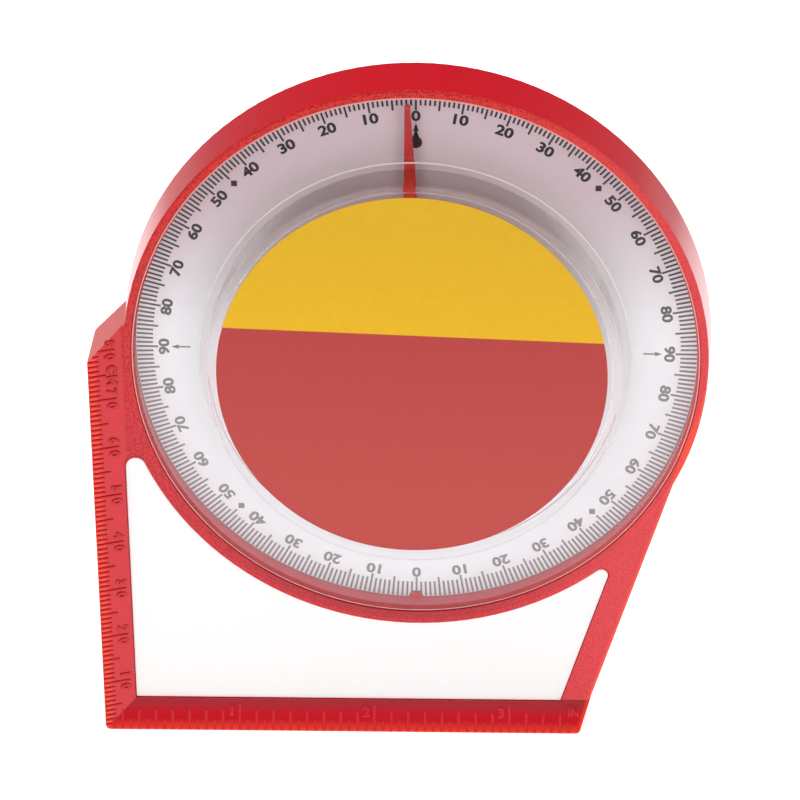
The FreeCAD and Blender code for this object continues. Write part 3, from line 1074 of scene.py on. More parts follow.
@dataclass(frozen=True)
class ScaleMarks:
    """A row of graduation marks with longer ones at set steps.

    Attributes:
        name: The piece's name.
        layout: Straight along an edge as rounded ridges, or round a dial as flat bars.
        first: Number of the first mark.
        count: How many numbers the row runs over.
        step: From one mark to the next, in millimetres or in degrees.
        start: The marks' outer end: from the edge, or from the dial's middle.
        short: Inner end, or on a dial length, of a common mark, in millimetres.
        medium: The same for a mark at each medium step.
        long: The same for a mark at each long step.
        medium_every: Numbers from one medium mark to the next.
        long_every: Numbers from one long mark to the next.
        width: Width of a mark, in millimetres.
        height: How far a mark stands up, in millimetres.
        corner: Where a straight row's edge starts to slope off at 45 degrees.
    """

    name: str
    layout: Layout
    first: int
    count: int
    step: float
    start: float
    short: float
    medium: float
    long: float
    medium_every: int
    long_every: int
    width: float
    height: float
    corner: float = 1000.0  # further off than any row reaches

    def inputs(self) -> dict[str, tuple[str, float]]:
        """Name the tree's inputs.

        Returns:
            The socket type and the value in metres of each named input.
        """
        step = math.radians(self.step) if self.layout is Layout.ROUND else self.step * MM
        counts = {
            "First": self.first,
            "Count": self.count,
            "Medium Every": self.medium_every,
            "Long Every": self.long_every,
        }
        lengths = {
            "Start": self.start,
            "Short": self.short,
            "Medium": self.medium,
            "Long": self.long,
            "Width": self.width,
            "Height": self.height,
            "Corner": self.corner,
        }
        whole = {name: ("NodeSocketInt", value) for name, value in counts.items()}
        whole["Step"] = ("NodeSocketFloat", step)
        whole.update({name: ("NodeSocketFloat", value * MM) for name, value in lengths.items()})
        return whole

    def tree(self, material: Material) -> NodeTree:
        """Build the geometry nodes that set out the row.

        Args:
            material: The marks' finish.

        Returns:
            The node tree.
        """
        tree = bpy.data.node_groups.new(self.name, "GeometryNodeTree")
        for name, (kind, _) in self.inputs().items():
            tree.interface.new_socket(name=name, in_out="INPUT", socket_type=kind)
        kind = "NodeSocketGeometry"
        tree.interface.new_socket(name="Geometry", in_out="OUTPUT", socket_type=kind)
        add = partial(add_node, tree)
        given = add("NodeGroupInput").outputs
        index = add("GeometryNodeInputIndex").outputs[0]
        number = add("ShaderNodeMath", {0: index, 1: given["First"]}, operation="ADD").outputs[0]
        steps = {0: number, 1: given["Step"]}
        along = add("ShaderNodeMath", steps, operation="MULTIPLY").outputs[0]
        end = self.mark_end(tree, given, number)
        draw = self.round_bars if self.layout is Layout.ROUND else self.straight_ridges
        whole = add("GeometryNodeRealizeInstances", {0: draw(tree, given, along, end)}).outputs[0]
        finish = {"Geometry": whole, "Material": material}
        add("NodeGroupOutput", {0: add("GeometryNodeSetMaterial", finish).outputs[0]})
        return tree

    def mark_end(self, tree: NodeTree, given: NodeOutputs, number: NodeSocket) -> NodeSocket:
        """Choose the short, medium or long end by the mark's number.

        Args:
            tree: The row's tree.
            given: The tree's inputs.
            number: The mark's number.

        Returns:
            The end, in metres.
        """
        add = partial(add_node, tree)
        end = given["Short"]
        for name, before in (("Medium", "Short"), ("Long", "Medium")):
            over = {0: number, 1: given[f"{name} Every"]}
            rest = add("ShaderNodeMath", over, operation="MODULO").outputs[0]
            hit = add("ShaderNodeMath", {0: rest, 1: 0.0, 2: 0.5}, operation="COMPARE").outputs[0]
            pair = {0: given[name], 1: given[before]}
            extra = add("ShaderNodeMath", pair, operation="SUBTRACT").outputs[0]
            longer = {0: hit, 1: extra, 2: end}
            end = add("ShaderNodeMath", longer, operation="MULTIPLY_ADD").outputs[0]
        return end

    def straight_ridges(
        self, tree: NodeTree, given: NodeOutputs, along: NodeSocket, end: NodeSocket
    ) -> NodeSocket:
        """Set half-sunk rods with round inner ends across a straight edge.

        Args:
            tree: The row's tree.
            given: The tree's inputs.
            along: The mark's place along the row.
            end: Its inner end, from the edge.

        Returns:
            The instances.
        """
        add = partial(add_node, tree)
        start, width = given["Start"], given["Width"]
        far = add("ShaderNodeMath", {0: along}, operation="ABSOLUTE").outputs[0]
        past = add("ShaderNodeMath", {0: far, 1: given["Corner"]}, operation="SUBTRACT").outputs[0]
        cut = add("ShaderNodeMath", {0: past, 1: start}, operation="ADD").outputs[0]
        start = add("ShaderNodeMath", {0: cut, 1: start}, operation="MAXIMUM").outputs[0]
        length = add("ShaderNodeMath", {0: end, 1: start}, operation="SUBTRACT").outputs[0]
        half = {0: length, 1: 0.5, 2: start}
        middle = add("ShaderNodeMath", half, operation="MULTIPLY_ADD").outputs[0]
        real = add("ShaderNodeMath", {0: length, 1: width}, operation="GREATER_THAN").outputs[0]
        lying = add("FunctionNodeEulerToRotation", {0: (math.pi / 2, 0.0, 0.0)}).outputs[0]
        rod = {"Vertices": 12, "Side Segments": 1, "Radius": 0.5, "Depth": 1.0}
        ball = {"Segments": 12, "Rings": 6, "Radius": 0.5}
        thick = {0: given["Height"], 1: 2.0}
        high = add("ShaderNodeMath", thick, operation="MULTIPLY").outputs[0]
        joined = add("GeometryNodeJoinGeometry")
        for kind, sizes, across, reach in (
            ("GeometryNodeMeshCylinder", rod, middle, length),
            ("GeometryNodeMeshUVSphere", ball, end, width),
        ):
            spot = add("ShaderNodeCombineXYZ", {"X": along, "Y": across}).outputs[0]
            points = {"Count": given["Count"], "Position": spot}
            scale = {"X": width, "Y": high, "Z": reach}
            sockets = {
                "Points": add("GeometryNodePoints", points).outputs[0],
                "Selection": real,
                "Instance": add(kind, sizes).outputs["Mesh"],
                "Rotation": lying,
                "Scale": add("ShaderNodeCombineXYZ", scale).outputs[0],
            }
            placed = add("GeometryNodeInstanceOnPoints", sockets).outputs[0]
            tree.links.new(placed, joined.inputs[0])
        return joined.outputs[0]

    def round_bars(
        self, tree: NodeTree, given: NodeOutputs, along: NodeSocket, length: NodeSocket
    ) -> NodeSocket:
        """Set flat bars on the radii of a dial.

        Args:
            tree: The row's tree.
            given: The tree's inputs.
            along: The mark's angle.
            length: Its length.

        Returns:
            The instances.
        """
        add = partial(add_node, tree)
        inward = {0: length, 1: -0.5, 2: given["Start"]}
        radius = add("ShaderNodeMath", inward, operation="MULTIPLY_ADD").outputs[0]
        places = []
        for operation in ("SINE", "COSINE"):
            share = add("ShaderNodeMath", {0: along}, operation=operation).outputs[0]
            place = {0: share, 1: radius}
            places.append(add("ShaderNodeMath", place, operation="MULTIPLY").outputs[0])
        spot = add("ShaderNodeCombineXYZ", {"X": places[0], "Y": places[1]}).outputs[0]
        back, thick = [
            add("ShaderNodeMath", {0: value, 1: times}, operation="MULTIPLY").outputs[0]
            for value, times in ((along, -1.0), (given["Height"], 2.0))
        ]
        angles = add("ShaderNodeCombineXYZ", {"Z": back}).outputs[0]
        scale = {"X": given["Width"], "Y": length, "Z": thick}
        points = {"Count": given["Count"], "Position": spot}
        sockets = {
            "Points": add("GeometryNodePoints", points).outputs[0],
            "Instance": add("GeometryNodeMeshCube", {"Size": (1.0, 1.0, 1.0)}).outputs["Mesh"],
            "Rotation": add("FunctionNodeEulerToRotation", {0: angles}).outputs[0],
            "Scale": add("ShaderNodeCombineXYZ", scale).outputs[0],
        }
        return add("GeometryNodeInstanceOnPoints", sockets).outputs[0]

    def build(self, material: Material, place: Matrix) -> Object:
        """Set the row out, turn it into a plain mesh and put it in its place.

        Args:
            material: The marks' finish.
            place: The row's own plane in the shared frame.

        Returns:
            The finished piece.
        """
        tree = self.tree(material)
        carrier = bpy.data.objects.new(self.name, bpy.data.meshes.new("carrier"))
        bpy.context.scene.collection.objects.link(carrier)
        modifier = carrier.modifiers.new("marks", "NODES")
        modifier.node_group = tree
        values = self.inputs()
        for socket in tree.interface.items_tree:
            if socket.in_out == "INPUT":
                modifier[socket.identifier] = values[socket.name][1]
        bpy.context.view_layer.update()
        graph = bpy.context.evaluated_depsgraph_get()
        mesh = bpy.data.meshes.new_from_object(carrier.evaluated_get(graph))
        carrier.modifiers.remove(modifier)
        mesh.name = self.name
        mesh.transform(place)
        carrier.data = mesh
        bpy.data.node_groups.remove(tree)
        if self.layout is Layout.STRAIGHT:
            smooth(carrier, MOULDED_SHARP_DEG)
        return carrier


# Sub-assemblies


@dataclass
class Case:
    """The red case with its two raised rules, in millimetres.

    Attributes:
        datum: Places of the case.
        land: Width of the flat outer edge of each strip.
        strip_fall: How far each strip falls towards the web.
        mark_height: How far the marks stand up.
        chamfer_height: Height at which the left edge starts to slope off.
        millimetre: From one mark of the left rule to the next, as moulded.
        inch: Length of an inch.
        ten_row: How far in from the edge the left rule's figures stand.
        digit_spread: How far a digit stands to each side of its mark.
        side_unit: The left rule's unit letters, each with its number on the rule.
        side_unit_row: How far in those letters stand.
        inch_row: How far in the bottom rule's figures stand.
        inch_shift: How far they stand to the left of their marks.
        base_unit_place: Where the bottom rule's unit stands: along it and inwards.
        figures: The rules' figures.
        unit: The bottom rule's narrower unit letters.
    """

    datum: Datum
    land: float = 0.3
    strip_fall: float = 2.2
    mark_height: float = 0.22
    chamfer_height: float = 77.0
    millimetre: float = 0.985
    inch: float = 25.4
    ten_row: float = 4.0
    digit_spread: float = 1.36
    side_unit: tuple[tuple[str, float], ...] = (("C", 76.0), ("M", 73.8))
    side_unit_row: float = 4.15
    inch_row: float = 3.6
    inch_shift: float = 1.55
    base_unit_place: tuple[float, float] = (88.2, 4.0)
    figures: Lettering = Lettering(2.1, boldness=0.06, depth=0.22, sunk=0.14, rounding=0.09)
    unit: Lettering = replace(figures, height=2.0, boldness=0.02, stretch=0.82)

    def strip_plane(self, along: Vector, inward: Vector, edge: Vector) -> Matrix:
        """A strip's own plane: X along it, Y inwards down its slope, Z out of it.

        Args:
            along: The way the marks are counted.
            inward: The way from the outer edge to the web, seen from the front.
            edge: A point on the outer edge, in millimetres.

        Returns:
            The plane's place in the shared frame.
        """
        lean = math.atan2(self.strip_fall, self.datum.strip_width - self.land)
        across = inward * math.cos(lean) + Vector((0, math.sin(lean), 0))
        out = inward * math.sin(lean) - Vector((0, math.cos(lean), 0))
        turn = Matrix((along, across, out)).transposed().to_4x4()
        return Matrix.Translation((edge + inward * self.land) * MM) @ turn

    def millimetre_marks(self) -> ScaleMarks:
        """Set the left rule out, in millimetres from the base.

        Returns:
            The row.
        """
        return ScaleMarks(
            name="side_rule_marks",
            layout=Layout.STRAIGHT,
            first=1,
            count=80,
            step=-self.millimetre,
            start=-0.2,
            short=1.65,
            medium=2.9,
            long=4.75,
            medium_every=5,
            long_every=10,
            width=0.5,
            height=self.mark_height,
            corner=self.chamfer_height,
        )

    def inch_marks(self) -> ScaleMarks:
        """Set the bottom rule out, in sixteenths of an inch from the left edge.

        Returns:
            The row.
        """
        return ScaleMarks(
            name="base_rule_marks",
            layout=Layout.STRAIGHT,
            first=1,
            count=55,
            step=self.inch / 16,
            start=-0.2,
            short=1.65,
            medium=3.45,
            long=4.75,
            medium_every=2,
            long_every=16,
            width=0.52,
            height=self.mark_height,
        )

    def millimetre_figures(self) -> BMesh:
        """Set the left rule's figures, a digit each side of its mark, and its unit.

        Returns:
            All of them in the strip's plane, in metres.
        """
        words = []
        for tens in range(1, 9):
            mark = -10 * tens * self.millimetre
            words.append((str(tens), moved(mark - self.digit_spread, self.ten_row)))
            words.append(("0", moved(mark + self.digit_spread, self.ten_row)))
        for letter, number in self.side_unit:
            words.append((letter, moved(-number * self.millimetre, self.side_unit_row)))
        return self.figures.set_out(words)

    def inch_figures(self) -> BMesh:
        """Set the bottom rule's figures, left of their marks, and its unit.

        Returns:
            All of them in the strip's plane, in metres.
        """
        words = []
        for number in range(1, 4):
            words.append((str(number), moved(self.inch * number - self.inch_shift, self.inch_row)))
        whole = self.figures.set_out(words)
        add_to(whole, self.unit.solid("IN"), moved(*self.base_unit_place))
        return whole

    def build(self, plastic: Material, ridges: dict[str, Material]) -> None:
        """Dress the case and build its rules.

        Args:
            plastic: The case's finish.
            ridges: The finish of each rule's raised marks.
        """
        dress("housing", plastic)
        edge = Vector((self.datum.left_x, self.datum.crest_y, 0))
        right, up = Vector((1, 0, 0)), Vector((0, 0, 1))
        rules = (
            ("side", -up, right, self.millimetre_marks(), self.millimetre_figures()),
            ("base", right, up, self.inch_marks(), self.inch_figures()),
        )
        for side, along, inward, row, figures in rules:
            place = self.strip_plane(along, inward, edge)
            settle(row.build(ridges[side], place))
            piece = piece_from(f"{side}_rule_figures", figures, place, ridges[side])
            smooth(piece, MOULDED_SHARP_DEG)
            settle(piece)


@dataclass
class Lens:
    """The clear window, turned finely enough for its rings to stay round.

    All lengths are in millimetres.

    Attributes:
        datum: Places of the case.
        boss_radius: Radius of the boss at its front.
        boss_flare: How much wider the boss is at its base.
        boss_height: How far the boss stands ahead of the flange.
        wall: Thickness of the boss's wall.
        post_radii: Inner and outer radius of the hollow post behind the boss.
        post_length: Length of that post.
        front_rounding: Rounding of the boss's front edge.
        root_rounding: Rounding where the boss meets the flange.
        edge_rounding: Rounding of the flange's outer front edge.
        inner_roundings: Roundings inside the boss, at its mouth and at its floor.
        edge_band: Width and depth of the pale pink edge band, a painted highlight.
        root_band: Half the width, and the height, of the root's ring of painted highlight.
        sharp_deg: Angle above which an edge stays sharp.
        segments: How many faces go round.
    """

    datum: Datum
    boss_radius: float = 37.4
    boss_flare: float = 1.7
    boss_height: float = 6.25
    wall: float = 1.7
    post_radii: tuple[float, float] = (2.5, 4.2)
    post_length: float = 3.1
    front_rounding: float = 0.6
    root_rounding: float = 0.35
    edge_rounding: float = 0.3
    inner_roundings: tuple[float, float] = (0.4, 0.3)
    edge_band: float = 0.29
    root_band: tuple[float, float] = (0.2, 0.25)
    sharp_deg: float = 30.0
    segments: int = 256

    def corners(self) -> list[Corner]:
        """Set out the profile.

        Returns:
            Its corners, from the front's middle round to the back's middle.
        """
        front, back = self.datum.boss_y, self.datum.lens_back_y
        flange = front + self.boss_height
        inside = front + self.wall
        base_radius = self.boss_radius + self.boss_flare
        drop = self.wall / math.cos(math.atan2(self.boss_flare, self.boss_height))
        bore, post = self.post_radii
        mouth, floor = self.inner_roundings
        return [
            Corner(0, front),
            Corner(self.boss_radius, front, self.front_rounding),
            Corner(base_radius, flange, self.root_rounding),
            Corner(self.datum.lens_radius, flange, self.edge_rounding, steps=3),
            Corner(self.datum.lens_radius, back),
            Corner(base_radius - drop, back, mouth),
            Corner(self.boss_radius - drop, inside, floor, steps=3),
            Corner(post, inside),
            Corner(post, inside + self.post_length),
            Corner(bore, inside + self.post_length),
            Corner(bore, inside),
            Corner(0, inside),
        ]

    def build(self, clear: Material, frosted_and_painted_pink: Material, painted_root_highlight: Material) -> None:
        """Turn the lens and give its outer front edge and its boss's root their finishes.

        Args:
            clear: The finish of the window.
            frosted_and_painted_pink: The finish of its moulded edge, pale pink as a painted
                highlight.
            painted_root_highlight: The finish of the small rounding round the boss's root, diffuse
                white as a painted highlight.
        """
        place = Vector((self.datum.axis_x, 0, self.datum.axis_z)) * MM
        solid = lathe(self.corners(), self.segments, place)
        piece = piece_from("clear_lens", solid, Matrix.Identity(4), clear)
        piece.data.materials.append(frosted_and_painted_pink)
        piece.data.materials.append(painted_root_highlight)
        flange = (self.datum.boss_y + self.boss_height) * MM
        root = (self.boss_radius + self.boss_flare) * MM
        edge = (self.datum.lens_radius - self.edge_band) * MM
        half, rise = self.root_band
        for face in piece.data.polygons:
            offset = face.center - place
            out = math.hypot(offset.x, offset.z)
            behind = face.center.y - flange
            if out > edge and 0 < behind < self.edge_band * MM:
                face.material_index = 1
            if abs(out - root) < half * MM and -rise * MM < behind < 0:
                face.material_index = 2
        smooth(piece, self.sharp_deg)
        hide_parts("lens")
        settle(piece)


@dataclass
class Dial:
    """The printed dial plate, in millimetres.

    Attributes:
        datum: Places of the case.
        turn_deg: How far the plate is turned clockwise in the case.
        mark_radius: Outer end of the degree marks.
        figure_radius: Middle of the ring of figures.
        ink_height: Thickness of the print, and how far it reaches into the plate.
        diamond_half: Half the diamonds' width.
        arrow_tip_radius: Where the arrows' tips are.
        shaft_half: Half the thickness of an arrow's shaft.
        barb_share: Where the shaft meets the head, as a share of the head's length.
        side_arrow: Length and half the width of the side arrows' heads, and their length.
        plumb_arrow: The same for the arrow at the top.
        bob_radius: Radius of the bob under the top arrow.
        bob_drop: How far the bob's middle lies under the arrow's tip.
        neck: Half the width of the bob's neck, and how far up it reaches.
        shoulder_deg: How far above the bob's middle its neck starts.
        bob_steps: How many flats go round the bob.
        figures: The ring's figures.
    """

    datum: Datum
    turn_deg: float = 0.6
    mark_radius: float = 50.6
    figure_radius: float = 45.75
    ink_height: float = 0.015
    diamond_half: float = 0.75
    arrow_tip_radius: float = 44.45
    shaft_half: float = 0.14
    barb_share: float = 0.92
    side_arrow: tuple[float, float, float] = (1.35, 0.44, 3.35)
    plumb_arrow: tuple[float, float, float] = (1.65, 0.52, 2.6)
    bob_radius: float = 1.1
    bob_drop: float = 3.62
    neck: tuple[float, float] = (0.16, 2.09)
    shoulder_deg: float = 55.0
    bob_steps: int = 40
    figures: Lettering = Lettering(1.98, boldness=0.075, depth=0.015, sunk=0.015, stretch=1.26)

    def marks(self) -> ScaleMarks:
        """Set out one mark for each degree.

        Returns:
            The row.
        """
        return ScaleMarks(
            name="dial_degree_marks",
            layout=Layout.ROUND,
            first=0,
            count=360,
            step=1.0,
            start=self.mark_radius,
            short=2.9,
            medium=3.75,
            long=3.8,
            medium_every=5,
            long_every=10,
            width=0.37,
            height=self.ink_height,
        )

    def numbers(self) -> BMesh:
        """Set the ring of figures, 0 at the top and the bottom, 90 at the sides.

        Returns:
            The figures, their tops outwards, in metres.
        """
        words = []
        for degrees in range(0, 360, 10):
            shown = 90 - abs(90 - degrees % 180)
            words.append((str(shown), turned_about(self.figure_radius, degrees)))
        return self.figures.set_out(words)

    def print_flat(self, outline: Outline, radius: float, turns: Iterable[float]) -> BMesh:
        """Print the same flat form at several places round the dial.

        Args:
            outline: Its corners, in millimetres.
            radius: How far from the dial's middle its origin lies.
            turns: How far each copy is turned clockwise, in degrees.

        Returns:
            The print, in metres.
        """
        whole = bmesh.new()
        for degrees in turns:
            flat = prism(outline, -self.ink_height, self.ink_height)
            add_to(whole, flat, turned_about(radius, degrees))
        return whole

    def arrow(self, head_length: float, head_half: float, length: float) -> Outline:
        """Draw an arrow that points away from the dial's middle.

        Args:
            head_length: Length of its head, in millimetres.
            head_half: Half the width of its head.
            length: Its whole length.

        Returns:
            Its corners, with the tip at the local origin.
        """
        shaft, notch = self.shaft_half, head_length * self.barb_share
        right = [(shaft, -length), (shaft, -notch), (head_half, -head_length)]
        return [(0, 0)] + [(-x, y) for x, y in reversed(right)] + right

    def bob(self) -> Outline:
        """Draw the round bob and its neck.

        Returns:
            Its corners, with the bob's middle at the local origin.
        """
        half, top = self.neck
        shoulder = math.radians(self.shoulder_deg)
        first, sweep = math.pi - shoulder, math.pi + 2 * shoulder
        angles = [first + sweep * step / self.bob_steps for step in range(self.bob_steps + 1)]
        radius = self.bob_radius
        circle = [(radius * math.cos(angle), radius * math.sin(angle)) for angle in angles]
        return [(half, top), (-half, top)] + circle

    def build(self, plate: Material, ink: Material) -> None:
        """Dress the plate and print it.

        Args:
            plate: The plate's finish.
            ink: The print's finish.
        """
        dress("dial_plate", plate)
        place = self.datum.on_dial(self.turn_deg)
        settle(self.marks().build(ink, place))
        half, tip = self.diamond_half, self.arrow_tip_radius
        diamond = [(half, 0), (0, half), (-half, 0), (0, -half)]
        plumb = self.print_flat(self.arrow(*self.plumb_arrow), tip, (0,))
        bob = self.print_flat(self.bob(), tip - self.bob_drop, (0,))
        add_to(plumb, bob, Matrix.Identity(4))
        prints = {
            "dial_figures": self.numbers(),
            "dial_diamonds": self.print_flat(diamond, self.figure_radius, range(45, 360, 90)),
            "dial_side_arrows": self.print_flat(self.arrow(*self.side_arrow), tip, (90, 270)),
            "dial_plumb_mark": plumb,
        }
        for name, solid in prints.items():
            settle(piece_from(name, solid, place, ink))


# The studio round the part


@dataclass(frozen=True)
class PaperSweep(Finish):
    """White paper under the part, which shines a little so that it shows as white.

    Its mirror image in the plastic is dark ahead of the part and bright under it.

    Attributes:
        sheet: The paper's own colour.
        roughness: How matt it is.
        shine: Its shine, and the smaller one for light that it bounces.
        near_image: Strength of its image ahead of the part, by place in metres.
        far_image: Strength of its image behind the part, by place in metres.
    """

    sheet: str = "#F4F4F4"
    roughness: float = 0.5
    shine: tuple[float, float] = (0.7, 0.5)
    near_image: Ramp = Ramp(-0.25, -0.16, most=1.6, least=0.08)
    far_image: Ramp = Ramp(0.25, 0.55, most=0.55, least=1.6)

    def shader(self, tree: NodeTree) -> NodeSocket:
        """Show the lit sheet, and in reflections its image.

        Args:
            tree: The material's tree.

        Returns:
            The shader.
        """
        add = partial(add_node, tree)
        path = add("ShaderNodeLightPath").outputs
        spot = add("ShaderNodeTexCoord").outputs["Object"]
        y = add("ShaderNodeSeparateXYZ", {0: spot}).outputs["Y"]
        near = self.near_image.over(y)
        near = add("ShaderNodeMapRange", near, interpolation_type="SMOOTHSTEP").outputs[0]
        far = add("ShaderNodeMapRange", self.far_image.over(y)).outputs[0]
        mirrored = add("ShaderNodeMath", {0: near, 1: far}, operation="MINIMUM").outputs[0]
        image = add("ShaderNodeEmission", {"Strength": mirrored}).outputs[0]
        plain, bounced = self.shine
        glow = {0: path["Is Diffuse Ray"], 2: plain, 3: bounced}
        glow = add("ShaderNodeMix", glow, data_type="FLOAT").outputs[0]
        white = add("ShaderNodeEmission", {"Strength": glow}).outputs[0]
        sheet = {"Color": linear(self.sheet), "Roughness": self.roughness}
        paper = add("ShaderNodeBsdfDiffuse", sheet).outputs[0]
        bright = add("ShaderNodeAddShader", {0: paper, 1: white}).outputs[0]
        glossy = {0: path["Is Glossy Ray"], 1: bright, 2: image}
        return add("ShaderNodeMixShader", glossy).outputs[0]


@dataclass(frozen=True)
class Surroundings:
    """White surroundings, bright at both sides and dark above and ahead in reflections.

    Attributes:
        room: Strength for light that falls on matt faces.
        inside: Least strength for light that has been through the clear plastic.
        sides: Strength of reflections from both sides.
        back: Strength of reflections from behind the part, by the direction's Y.
        above: How these darken upwards, by the direction's Z.
        side_turn: How a direction comes to count as sideways, by its X.
        side_climb: The same by its Z.
    """

    room: float = 0.26
    inside: float = 0.6
    sides: float = 0.9
    back: Ramp = Ramp(-0.2, 0.3, most=0.3, least=0.06)
    above: Ramp = Ramp(0.0, 0.48, most=0.06)
    side_turn: Ramp = Ramp(0.55, 0.85)
    side_climb: Ramp = Ramp(0.85, 0.4)

    def build(self) -> None:
        """Add the world: white to the camera, and plain or mirrored to everything else."""
        world = bpy.data.worlds.new("studio")
        bpy.context.scene.world = world
        world.use_nodes = True
        world.node_tree.nodes.clear()
        add = partial(add_node, world.node_tree)
        path = add("ShaderNodeLightPath").outputs
        mirrored = self.reflections(world.node_tree)
        room = {0: path["Is Glossy Ray"], 2: self.room, 3: mirrored}
        room = add("ShaderNodeMix", room, data_type="FLOAT").outputs[0]
        within = {0: path["Transmission Depth"], 1: self.inside}
        within = add("ShaderNodeMath", within, operation="MINIMUM").outputs[0]
        for least in (within, path["Is Camera Ray"], path["Is Transmission Ray"]):
            room = add("ShaderNodeMath", {0: room, 1: least}, operation="MAXIMUM").outputs[0]
        back = add("ShaderNodeBackground", {"Color": linear("#FFFFFF"), "Strength": room})
        add("ShaderNodeOutputWorld", {"Surface": back.outputs[0]})

    def reflections(self, tree: NodeTree) -> NodeSocket:
        """How bright a reflection is by the way that it looks.

        Args:
            tree: The world's tree.

        Returns:
            The strength.
        """
        add = partial(add_node, tree)
        way = add("ShaderNodeTexCoord").outputs["Generated"]
        x, y, z = add("ShaderNodeSeparateXYZ", {0: way}).outputs
        back = add("ShaderNodeMapRange", self.back.over(y)).outputs[0]
        dusk = add("ShaderNodeMapRange", self.above.over(z) | {"To Min": back}).outputs[0]
        sideways = add("ShaderNodeMath", {0: x}, operation="ABSOLUTE").outputs[0]
        out, low = [
            add("ShaderNodeMapRange", ramp, interpolation_type="SMOOTHSTEP").outputs[0]
            for ramp in (self.side_turn.over(sideways), self.side_climb.over(z))
        ]
        sides = add("ShaderNodeMath", {0: out, 1: low}, operation="MULTIPLY").outputs[0]
        mirrored = {"Value": sides, "To Min": dusk, "To Max": self.sides}
        return add("ShaderNodeMapRange", mirrored).outputs[0]


@dataclass(frozen=True)
class Softbox:
    """A soft square lamp.

    Attributes:
        name: The lamp's name.
        place: Where it stands, in metres.
        size: Its width, in metres.
        power: Its power, in watts.
    """

    name: str
    place: tuple[float, float, float]
    size: float
    power: float

    def build(self, aim: Vector) -> None:
        """Add the lamp, which doesn't show in reflections.

        Args:
            aim: The point that it faces, in metres.
        """
        light = bpy.data.lights.new(self.name, "AREA")
        light.size = self.size
        light.energy = self.power
        lamp = bpy.data.objects.new(self.name, light)
        turn = (aim - Vector(self.place)).to_track_quat("-Z", "Y")
        lamp.matrix_world = Matrix.Translation(self.place) @ turn.to_matrix().to_4x4()
        lamp.visible_glossy = False
        bpy.context.scene.collection.objects.link(lamp)


@dataclass(frozen=True)
class Camera:
    """The camera, where the picture was taken from.

    Attributes:
        focal_length: Its focal length, in millimetres.
        sensor_width: Width of its sensor, in millimetres.
        clip: Nearest and furthest distance that it shows, in metres.
        place: Where it stands, in millimetres.
        pitch: How far it looks down, in radians.
        roll: How far it is tilted about its line of sight.
        yaw: How far it is turned from straight ahead.
    """

    focal_length: float = 188.15
    sensor_width: float = 36.0
    clip: tuple[float, float] = (0.01, 50.0)
    place: tuple[float, float, float] = (33.295, -681.47, 406.95)
    pitch: float = -0.46171
    roll: float = 0.01519
    yaw: float = 0.04911

    def build(self) -> None:
        """Add the camera and look through it."""
        data = bpy.data.cameras.new("camera")
        data.lens = self.focal_length
        data.sensor_width = self.sensor_width
        data.clip_start, data.clip_end = self.clip
        camera = bpy.data.objects.new("camera", data)
        camera.matrix_world = (
            Matrix.Translation(Vector(self.place) * MM)
            @ Matrix.Rotation(self.yaw, 4, "Z")
            @ Matrix.Rotation(math.pi / 2 + self.pitch, 4, "X")
            @ Matrix.Rotation(-self.roll, 4, "Z")
        )
        bpy.context.scene.collection.objects.link(camera)
        bpy.context.scene.camera = camera


@dataclass
class Studio:
    """Floor, lamps, surroundings and camera.

    Attributes:
        camera: Where the picture is taken from.
        floor_size: Width of the floor, in metres.
        aim: The point that the lamps face, in metres.
        lamps: The lamps.
    """

    camera: Camera = Camera()
    floor_size: float = 8.0
    aim: tuple[float, float, float] = (0.0, 0.0, 0.07)
    lamps: tuple[Softbox, ...] = (
        Softbox("left_softbox", (-0.55, -0.85, 0.5), size=0.6, power=2.7),
        Softbox("right_softbox", (0.6, -0.85, 0.45), size=0.6, power=2.4),
        Softbox("top_softbox", (0.0, 0.25, 0.9), size=0.7, power=5.2),
    )

    def build_floor(self) -> None:
        """Lay the pale floor, which shows as white where no shadow falls."""
        half = self.floor_size / 2
        mesh = bpy.data.meshes.new("floor")
        corners = [(-half, -half, 0), (half, -half, 0), (half, half, 0), (-half, half, 0)]
        mesh.from_pydata(corners, [], [(0, 1, 2, 3)])
        floor = bpy.data.objects.new("floor", mesh)
        bpy.context.scene.collection.objects.link(floor)
        sweep = PaperSweep("white_paper_sweep")  # even matt white, with the part's soft shadow
        mesh.materials.append(sweep.material())

    def build(self) -> None:
        """Set up the whole studio."""
        self.camera.build()
        self.build_floor()
        Surroundings().build()
        for lamp in self.lamps:
            lamp.build(Vector(self.aim))
        bpy.context.scene.view_settings.view_transform = "Standard"


# The small parts and the whole


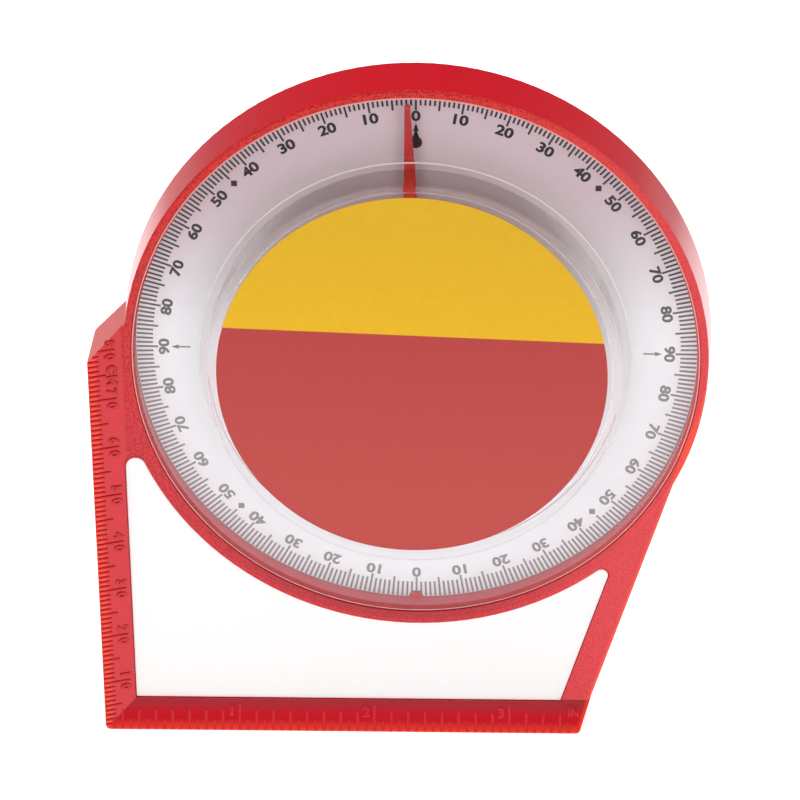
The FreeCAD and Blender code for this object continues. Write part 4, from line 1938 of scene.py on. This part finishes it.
def dress_small_parts(datum: Datum) -> None:
    """Give the pendulum, the bearings, the magnets and the card their finishes.

    Args:
        datum: Places of the case.
    """
    enamel = SpeckledFinish(
        name="red_painted_brass",  # satin enamel on slim sheet, made lighter where it meets the hub by painted light
        light="#BA2A26",
        dark="#B02422",
        grain=1.5,
        roughness=(0.32, 0.42),
        relief=0.002,
        far_tone="#E6453F",
        far_rise=Ramp(38.0, 33.0),
        far_zero=datum.axis_z,
    )
    card = SpeckledFinish(
        name="white_satin_card",  # smooth coated board, faint fibres
        light="#FFFFFF",
        dark="#FCFCFC",
        grain=0.8,
        roughness=(0.45, 0.6),
        relief=0.003,
        specular=1.0,
    )
    ferrite = SpeckledFinish(
        name="ground_ferrite",  # dark sintered ceramic with fine pores
        light="#4A4848",
        dark="#2E2D2E",
        grain=0.5,  # real pores are far finer, drawn coarser so that they show
        roughness=(0.5, 0.75),
        relief=0.01,
    )
    zinc = SpeckledFinish(
        name="zinc_plated_steel",  # bright plating with a soft cloudiness
        light="#C9CBCF",
        dark="#A4A7AD",
        grain=4.0,
        roughness=(0.25, 0.45),
        metallic=1.0,
    )
    brass = SpeckledFinish(
        name="turned_brass",  # fine turning lines round the axis
        light="#D9B56A",
        dark="#B98F45",
        grain=0.25,  # real turning lines are about 0.05 mm apart, drawn coarser to show
        stretch=(12.0, 1.0, 12.0),
        roughness=(0.22, 0.4),
        metallic=1.0,
    )
    steel = SpeckledFinish(
        name="ground_steel",  # fine grinding lines along the pin
        light="#BFC1C4",
        dark="#96999D",
        grain=0.2,  # real grinding lines are about 0.02 mm apart, drawn coarser to show
        stretch=(1.0, 14.0, 1.0),
        roughness=(0.18, 0.34),
        metallic=1.0,
    )
    for finish, nodes in (
        (enamel, ("pointer",)),
        (card, ("white_panel",)),
        (ferrite, ("base_magnet_left", "base_magnet_right")),
        (zinc, ("magnet_keeper_left", "magnet_keeper_right", "counterweight")),
        (brass, ("front_bearing_cup", "rear_bearing_cup", "pointer_hub")),
        (steel, ("arbor", "weight_rivets")),
    ):
        material = finish.material()
        for node in nodes:
            dress(node, material)


def main() -> None:
    """Build every sub-assembly in order."""
    logging.basicConfig(level=logging.INFO, format="%(name)s: %(message)s")
    datum = Datum.read()
    Studio().build()
    ridges = {
        side: SpeckledFinish(
            name=f"{side}_rule_ridges",  # polished ridges, deep red in their thick middle; the base rule's lighter pink is painted sheen
            light=light,
            dark=dark,
            grain=1.2,
            roughness=(0.2, 0.3),
            relief=0.002,
        ).material()
        for side, light, dark in (("side", "#CE0F12", "#C00A10"), ("base", "#E22436", "#D81E30"))
    }
    # Glossy red strips and sides, fine grain on the front flats, a painted orange glow on the
    # slender edges, and painted light and shade on the flats, the rim and the base strip
    red = MouldedPlastic("moulded_red_abs", datum)
    Case(datum).build(red.material(), ridges)
    lacquer = SpeckledFinish(
        name="silver_lacquered_aluminium",  # pale matt lacquer over sheet, greyer to the top by painted pinkish shade
        light="#EEF7F9",
        dark="#E7F0F2",
        grain=2.5,
        roughness=(0.45, 0.55),
        relief=0.002,
        far_tone="#CDC1C6",
        far_rise=Ramp(0.0, 34.0),
        far_zero=datum.axis_z,
    )
    # Matt black, greyed towards the foot of the dial by painted reflection
    ink = ScreenInk("black_screen_ink", datum)
    Dial(datum).build(lacquer.material(), ink.material())
    # Sharp highlights on clear plastic, whose steep walls at both sides turn diffuse white as
    # painted reflection of the bright surroundings
    clear = ClearPlastic("clear_moulded_acrylic")
    frosted_and_painted_pink = SpeckledFinish(
        name="frosted_acrylic_edge_painted_pink",  # scatters light; its pale pink is a painted highlight from the red case's light
        light="#F8CAC3",
        dark="#EBAAA2",
        grain=0.6,
        roughness=(0.5, 0.7),
    )
    # The same plastic, diffuse white at its root, where it draws a pale ring of painted highlight
    painted_root_highlight = ClearPlastic("acrylic_root_painted_highlight", haze=0.6)
    Lens(datum).build(clear.material(), frosted_and_painted_pink.material(), painted_root_highlight.material())
    # Flat yellow over brick red with a crisp join, under a soft satin sheen
    film = TwoInkFilm("two_ink_film", datum)
    dress("front_label", film.material())
    dress_small_parts(datum)


if __name__ == "__main__":
    main()
